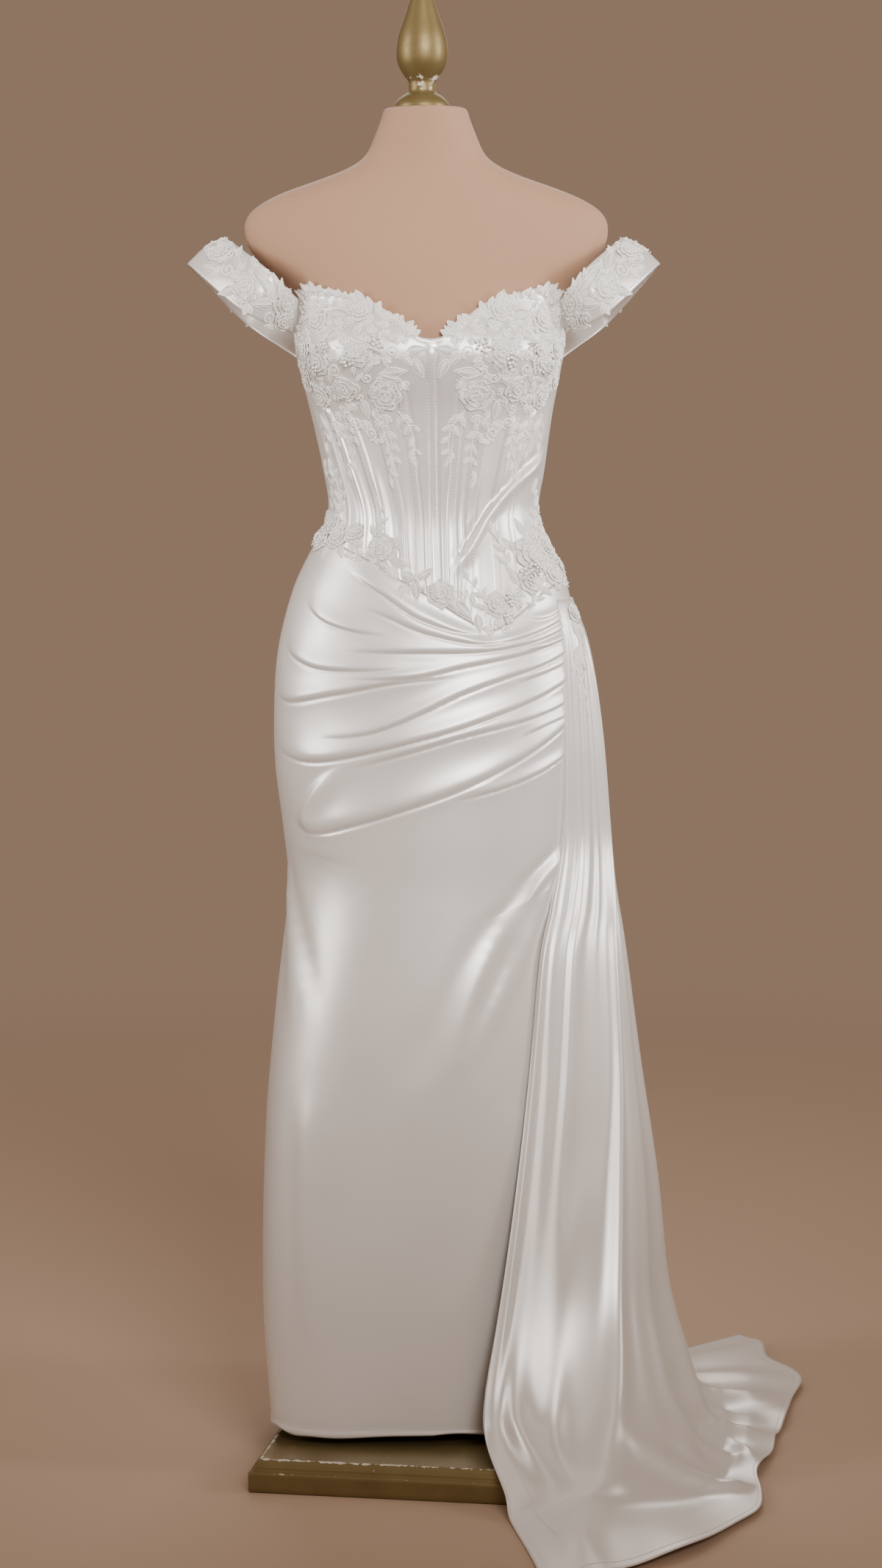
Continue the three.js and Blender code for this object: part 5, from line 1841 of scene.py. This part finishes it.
waist_right = waist_patch("lace_hip_right", WAIST_MOTIFS_RIGHT, -93, 1.5, 21)
waist_left = waist_patch("lace_hip_left", WAIST_MOTIFS_LEFT, 2.5, 93, 22)

# %% The tail on the drape


def tail_chart(u, v, out=0.0):
    """The head of the drape as a chart: across it, and upwards."""
    return on_drape(u, 1 - v, out)


# columns: motif, share across the drape, share up it, size, compass direction
TAIL_MOTIFS = (
    ("rose", 0.30, 0.978, 24, 0),
    ("leaf", 0.22, 0.955, 24, 176),
    ("leaf", 0.34, 0.952, 20, 160),
    ("sprig", 0.24, 0.938, 52, 180),
    ("leaf", 0.18, 0.905, 18, 190),
    ("bud", 0.24, 0.925, 13, 180),
)
tail = LacePatch("lace_drape_tail", tail_chart, tail_chart, (0.004, 0.002))
lay_table(tail, TAIL_MOTIFS)
print("motifs of the tail:", len(TAIL_MOTIFS))

# %% Sleeve patches
# columns: motif, share along the band, share up it, size, compass direction; for the wearer's left
SLEEVE_MOTIFS = (
    ("rose", 0.085, 0.62, 34, 0),
    ("rose", 0.065, 0.25, 28, 30),
    ("scroll", 0.125, 0.12, 20, 190),
    ("leaf", 0.12, 0.90, 19, 24),
    ("leaf", 0.16, 0.92, 18, 56),
    ("leaf", 0.17, 0.35, 26, 120),
    ("leaf", 0.19, 0.72, 30, 70),
    ("rose", 0.255, 0.42, 34, 15),
    ("leaf", 0.245, 0.86, 24, 80),
    ("leaf", 0.30, 0.12, 24, 140),
    ("leaf", 0.33, 0.78, 28, 60),
    ("scroll", 0.335, 0.45, 20, 80),
    ("rose", 0.405, 0.66, 30, 0),
    ("leaf", 0.40, 0.92, 16, 60),
    ("leaf", 0.45, 0.90, 17, 40),
    ("leaf", 0.38, 0.26, 22, 110),
    ("leaf", 0.47, 0.55, 22, 90),
    ("bud", 0.22, 0.18, 13, 180),
    ("bud", 0.14, 0.5, 13, 60),
    ("leaf", 0.72, 0.10, 17, 150),
    ("leaf", 0.80, 0.10, 16, 200),
)


def sleeve_patch(side):
    name = "lace_sleeve_left_band" if side > 0 else "lace_sleeve_right_band"

    def chart(u, v, out=0.0):
        return on_sleeve(side, np.clip(side * u, 0.0, 1.0), v, out)

    patch = LacePatch(name, chart, chart, (0.003, 0.02))
    lay_table(patch, SLEEVE_MOTIFS, side)
    ends = sorted((side * 0.03, side * 0.5))
    count = fill_gaps(
        patch,
        lambda u, v: 0.2 + 0.35 * abs(u) < v < 0.97,
        (ends[0], 0.1),
        (ends[1], 1.0),
        9.6,
        (340, 50),
        31 + side,
        lambda u, v: side * 80.0,
    )
    print(name, "motifs:", len(SLEEVE_MOTIFS), "by hand and", count, "in the gaps")
    return patch


sleeve_patches = {side: sleeve_patch(side) for side in (-1, 1)}

# %% [markdown]
# ## Cords, beads and sequins by Geometry Nodes
# A cord follows a path and a bead repeats on a point, which is what Geometry Nodes are for. The cord tree
# turns loose edges into curves and sweeps a small circle along them. The bead and sequin trees put one
# shape on every point, turned to face outwards. Each tree ends in realised geometry with its own
# material, and the result is kept as a plain mesh.

# %% Building and running a tree


def geometry_tree(name, inputs):
    tree = bpy.data.node_groups.new(name, "GeometryNodeTree")
    tree.interface.new_socket("Geometry", in_out="INPUT", socket_type="NodeSocketGeometry")
    tree.interface.new_socket("Geometry", in_out="OUTPUT", socket_type="NodeSocketGeometry")
    for label, kind, value in inputs:
        socket = tree.interface.new_socket(label, in_out="INPUT", socket_type=kind)
        if value is not None:
            socket.default_value = value
    return tree, tree.nodes.new("NodeGroupInput"), tree.nodes.new("NodeGroupOutput")


def finish_tree(tree, given, result, geometry):
    """Realize Instances, smooth shading and Set Material close every tree."""
    real = tree.nodes.new("GeometryNodeRealizeInstances")
    smooth = tree.nodes.new("GeometryNodeSetShadeSmooth")
    paint = tree.nodes.new("GeometryNodeSetMaterial")
    wire(geometry, real.inputs["Geometry"])
    wire(real.outputs["Geometry"], smooth.inputs["Geometry"])
    wire(smooth.outputs["Geometry"], paint.inputs["Geometry"])
    wire(given.outputs["Material"], paint.inputs["Material"])
    wire(paint.outputs["Geometry"], result.inputs["Geometry"])


def run_tree(name, tree, points, edges, attributes, values):
    """Runs a tree on loose points and edges, and keeps the result as a plain mesh object."""
    source_mesh = bpy.data.meshes.new(name + "_source")
    source_mesh.from_pydata(np.asarray(points) * MM, edges, [])
    for label, kind, numbers in attributes:
        attribute = source_mesh.attributes.new(label, kind, "POINT")
        field = "vector" if kind == "FLOAT_VECTOR" else "value"
        attribute.data.foreach_set(field, np.asarray(numbers, np.float32).ravel())
    source = bpy.data.objects.new(name + "_source", source_mesh)
    bpy.context.scene.collection.objects.link(source)
    modifier = source.modifiers.new("nodes", "NODES")
    modifier.node_group = tree
    for socket in tree.interface.items_tree:
        if socket.in_out == "INPUT" and socket.name in values:
            modifier[socket.identifier] = values[socket.name]
    graph = bpy.context.evaluated_depsgraph_get()
    mesh = bpy.data.meshes.new_from_object(source.evaluated_get(graph), depsgraph=graph)
    mesh.name = name
    bpy.data.objects.remove(source)
    bpy.data.meshes.remove(source_mesh)
    made = bpy.data.objects.new(name, mesh)
    bpy.context.scene.collection.objects.link(made)
    return made


print("tree helpers:", geometry_tree.__name__, finish_tree.__name__, run_tree.__name__)

# %% The cord tree
# radius in metres
CORD_RADIUS, CORD_SIDES = 0.00062, 5


def cord_tree():
    inputs = (
        ("Cord Radius", "NodeSocketFloat", CORD_RADIUS),
        ("Sides", "NodeSocketInt", CORD_SIDES),
        ("Material", "NodeSocketMaterial", None),
    )
    tree, given, result = geometry_tree("lace_cords", inputs)
    path = tree.nodes.new("GeometryNodeMeshToCurve")
    profile = tree.nodes.new("GeometryNodeCurvePrimitiveCircle")
    sweep = node(tree, "GeometryNodeCurveToMesh", Fill_Caps=True)
    wire(given.outputs["Geometry"], path.inputs["Mesh"])
    wire(given.outputs["Sides"], profile.inputs["Resolution"])
    wire(given.outputs["Cord Radius"], profile.inputs["Radius"])
    wire(path.outputs["Curve"], sweep.inputs["Curve"])
    wire(profile.outputs["Curve"], sweep.inputs["Profile Curve"])
    finish_tree(tree, given, result, sweep.outputs["Mesh"])
    return tree


CORD_TREE = cord_tree()
print("tree:", CORD_TREE.name)

# %% The bead and sequin trees


def trim_tree(name, shape_of):
    """One small shape on every point, sized by 'size' and facing along 'facing'."""
    tree, given, result = geometry_tree(name, (("Material", "NodeSocketMaterial", None),))
    shape = shape_of(tree)
    size = node(tree, "GeometryNodeInputNamedAttribute", data_type="FLOAT", Name="size")
    facing = node(tree, "GeometryNodeInputNamedAttribute", data_type="FLOAT_VECTOR", Name="facing")
    turn = node(tree, "FunctionNodeAlignRotationToVector", axis="Z")
    put = tree.nodes.new("GeometryNodeInstanceOnPoints")
    wire(facing.outputs["Attribute"], turn.inputs["Vector"])
    wire(given.outputs["Geometry"], put.inputs["Points"])
    wire(shape, put.inputs["Instance"])
    wire(turn.outputs["Rotation"], put.inputs["Rotation"])
    wire(size.outputs["Attribute"], put.inputs["Scale"])
    finish_tree(tree, given, result, put.outputs["Instances"])
    return tree


def ball(tree):
    return node(tree, "GeometryNodeMeshUVSphere", Segments=7, Rings=4, Radius=1.0).outputs["Mesh"]


def disc(tree):
    shape = node(tree, "GeometryNodeMeshCone", Vertices=10, Depth=0.28)
    set_inputs(shape, Radius_Top=0.45, Radius_Bottom=1.0)
    return shape.outputs["Mesh"]


BEAD_TREE = trim_tree("beads_on_points", ball)
SEQUIN_TREE = trim_tree("sequins_on_points", disc)
print("trees:", BEAD_TREE.name, SEQUIN_TREE.name)

# %% Make the lace pieces


def joined(name, pieces):
    """One mesh out of petals and then cords; the undersides of the petals are shaded flat."""
    points, faces, start = [], [], 0
    for piece in pieces:
        flat = np.zeros(len(piece.data.vertices) * 3, np.float32)
        piece.data.vertices.foreach_get("co", flat)
        points.append(flat.reshape(-1, 3) / MM)
        faces.extend(tuple(index + start for index in face.vertices) for face in piece.data.polygons)
        start += len(piece.data.vertices)
        bpy.data.objects.remove(piece)
    made = mesh_object(name, np.concatenate(points), faces, LACE)
    mark_points(made, "corded", np.repeat(np.arange(len(points)), [len(group) for group in points]))
    made.data.polygons.foreach_set("use_smooth", [len(face) < 8 for face in faces])
    return made


def cord_edges(runs):
    edges, start = [], 0
    for count, closed in runs:
        edges.extend((start + k, start + k + 1) for k in range(count - 1))
        if closed:
            edges.append((start + count - 1, start))
        start += count
    return edges


def lace_piece(patch, replaced):
    blades, _ = patch.laid("blade")
    faces = []
    for start in range(0, len(blades), BLADE_POINTS):
        faces.extend(tuple(index + start for index in face) for face in BLADE_FACES)
    petals = mesh_object(patch.name + "_petals", blades, faces, LACE)
    path, _ = patch.laid("cord")
    values = {"Cord Radius": CORD_RADIUS, "Sides": CORD_SIDES, "Material": LACE}
    cords = run_tree(patch.name + "_cords", CORD_TREE, path, cord_edges(patch.cord_runs), (), values)
    made = joined(patch.name, [petals, cords])
    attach(made, "root")
    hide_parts(replaced)
    print(patch.name + ":", triangles(made), "triangles")


LACE_PATCHES = (
    (bust_patches[-1], "lace_cup_right"),
    (bust_patches[1], "lace_cup_left"),
    (waist_right, "lace_waist_right"),
    (waist_left, "lace_waist_left"),
    (sleeve_patches[-1], "lace_sleeve_right"),
    (sleeve_patches[1], "lace_sleeve_left"),
    (tail, "lace_tail"),
)
for row in LACE_PATCHES:
    lace_piece(*row)

# %% Make the beads and sequins
# how far each one leans off the cloth, so that they don't all catch the light together
TRIM_TILT = 0.4


def trim_piece(name, layer, tree, material):
    points, facing, sizes = [], [], []
    for patch, _ in LACE_PATCHES:
        laid, normal = patch.laid(layer)
        points.append(laid)
        facing.append(normal)
        sizes.extend(patch.sizes[layer])
    spun = 2.4 * np.arange(len(sizes))
    tilt = TRIM_TILT * np.stack([np.cos(spun), 0 * spun, np.sin(spun)], -1)
    attributes = (
        ("size", "FLOAT", np.array(sizes) * MM),
        ("facing", "FLOAT_VECTOR", np.concatenate(facing) + tilt),
    )
    made = run_tree(name, tree, np.concatenate(points), [], attributes, {"Material": material})
    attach(made, "root")
    print(name + ":", len(sizes), "pieces,", triangles(made), "triangles")


trim_piece("beads", "bead", BEAD_TREE, BEAD)
trim_piece("sequins", "sequin", SEQUIN_TREE, SEQUIN)

# %% [markdown]
# ## Stitches
# Every bone channel is held by two rows of topstitching, and the zip, neckline, sleeves and hems are sewn
# down close to the edge. The rows are paths on the finished surface; a tree walks each path in even steps and
# lays one short thread on every step, turned along the path.

# %% Paths of the seams


def channel_paths():
    paths = []
    for bone in BONES + BACK_BONES:
        share = np.linspace(0.02, 0.94, 60)
        low = np.full_like(share, float(bone))
        foot = waistline(low)
        height = lerp(foot, panel_top(top_angle(low)), share)
        angle = lerp(low, top_angle(low), share)
        aside = (BONE_HALF - 1.5) / per_degree(angle, height)
        paths.extend(bodice_skin(angle + way * aside, height, 0.15) for way in (-1, 1))
    return paths


def edge_paths():
    around = np.linspace(-178, 178, 240)
    hem_round = np.linspace(-179, 179, 300)
    along = np.linspace(0.02, 0.98, 260)
    paths = [bodice_skin(around, neckline(around) - 5.0, 0.2)]
    paths.append(on_figure(hem_round, HEM + 9.0, skirt_relief(hem_round, HEM + 9.0) + 0.2))
    paths.append(on_drape(along, np.full_like(along, 0.988), 0.2))
    paths.append(on_drape(np.full_like(along, 0.035), 0.04 + 0.9 * along, 0.2))
    for side in (-1, 1):
        beside_zip = side * (180 - (ZIP_HALF - 1.4) / 1.9)
        up_skirt = np.linspace(ZIP_END, 997, 70)
        paths.append(on_figure(beside_zip, up_skirt, skirt_relief(beside_zip, up_skirt) + 0.2))
        paths.append(bodice_skin(beside_zip, np.linspace(1003, 1219, 80), 0.2))
        share = np.linspace(0.02, 0.98, 90)
        paths.extend(on_sleeve(side, share, np.full_like(share, at), 0.2) for at in (0.07, 0.93))
    return paths


SEAM_PATHS = channel_paths() + edge_paths()
print("rows of stitches:", len(SEAM_PATHS))

# %% The stitch tree
# in metres
STITCH_STEP, THREAD_RADIUS, THREAD_LENGTH = 0.0036, 0.00032, 0.0026


def stitch_tree():
    inputs = (
        ("Step", "NodeSocketFloat", STITCH_STEP),
        ("Thread Radius", "NodeSocketFloat", THREAD_RADIUS),
        ("Thread Length", "NodeSocketFloat", THREAD_LENGTH),
        ("Material", "NodeSocketMaterial", None),
    )
    tree, given, result = geometry_tree("stitches_on_paths", inputs)
    path = tree.nodes.new("GeometryNodeMeshToCurve")
    points = node(tree, "GeometryNodeCurveToPoints", mode="LENGTH")
    thread = node(tree, "GeometryNodeMeshCylinder", Vertices=4)
    turn = node(tree, "FunctionNodeAlignRotationToVector", axis="Z")
    put = tree.nodes.new("GeometryNodeInstanceOnPoints")
    wire(given.outputs["Geometry"], path.inputs["Mesh"])
    wire(path.outputs["Curve"], points.inputs["Curve"])
    wire(given.outputs["Step"], points.inputs["Length"])
    wire(given.outputs["Thread Radius"], thread.inputs["Radius"])
    wire(given.outputs["Thread Length"], thread.inputs["Depth"])
    wire(points.outputs["Tangent"], turn.inputs["Vector"])
    wire(points.outputs["Points"], put.inputs["Points"])
    wire(thread.outputs["Mesh"], put.inputs["Instance"])
    wire(turn.outputs["Rotation"], put.inputs["Rotation"])
    finish_tree(tree, given, result, put.outputs["Instances"])
    return tree


STITCH_TREE = stitch_tree()
print("tree:", STITCH_TREE.name)

# %% Make the stitches
seam_runs = [(len(path), False) for path in SEAM_PATHS]
values = {
    "Step": STITCH_STEP,
    "Thread Radius": THREAD_RADIUS,
    "Thread Length": THREAD_LENGTH,
    "Material": SATIN,
}
stitches = run_tree("stitches", STITCH_TREE, np.concatenate(SEAM_PATHS), cord_edges(seam_runs), (), values)
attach(stitches, "root")
print("stitches:", triangles(stitches), "triangles")

# %% [markdown]
# ## The area of the cloth
# For every satin piece, the area of one layer of its shell is printed. The
# gathered and pleated pieces were cut larger than they look.


def cloth_area(piece):
    """Area of one layer of a closed shell, in square metres."""
    return sum(face.area for face in piece.data.polygons) / 2


for piece in (bodice, skirt, drape, sleeve_right, sleeve_left):
    print(piece.name, "one layer:", round(cloth_area(piece), 4), "square metres")
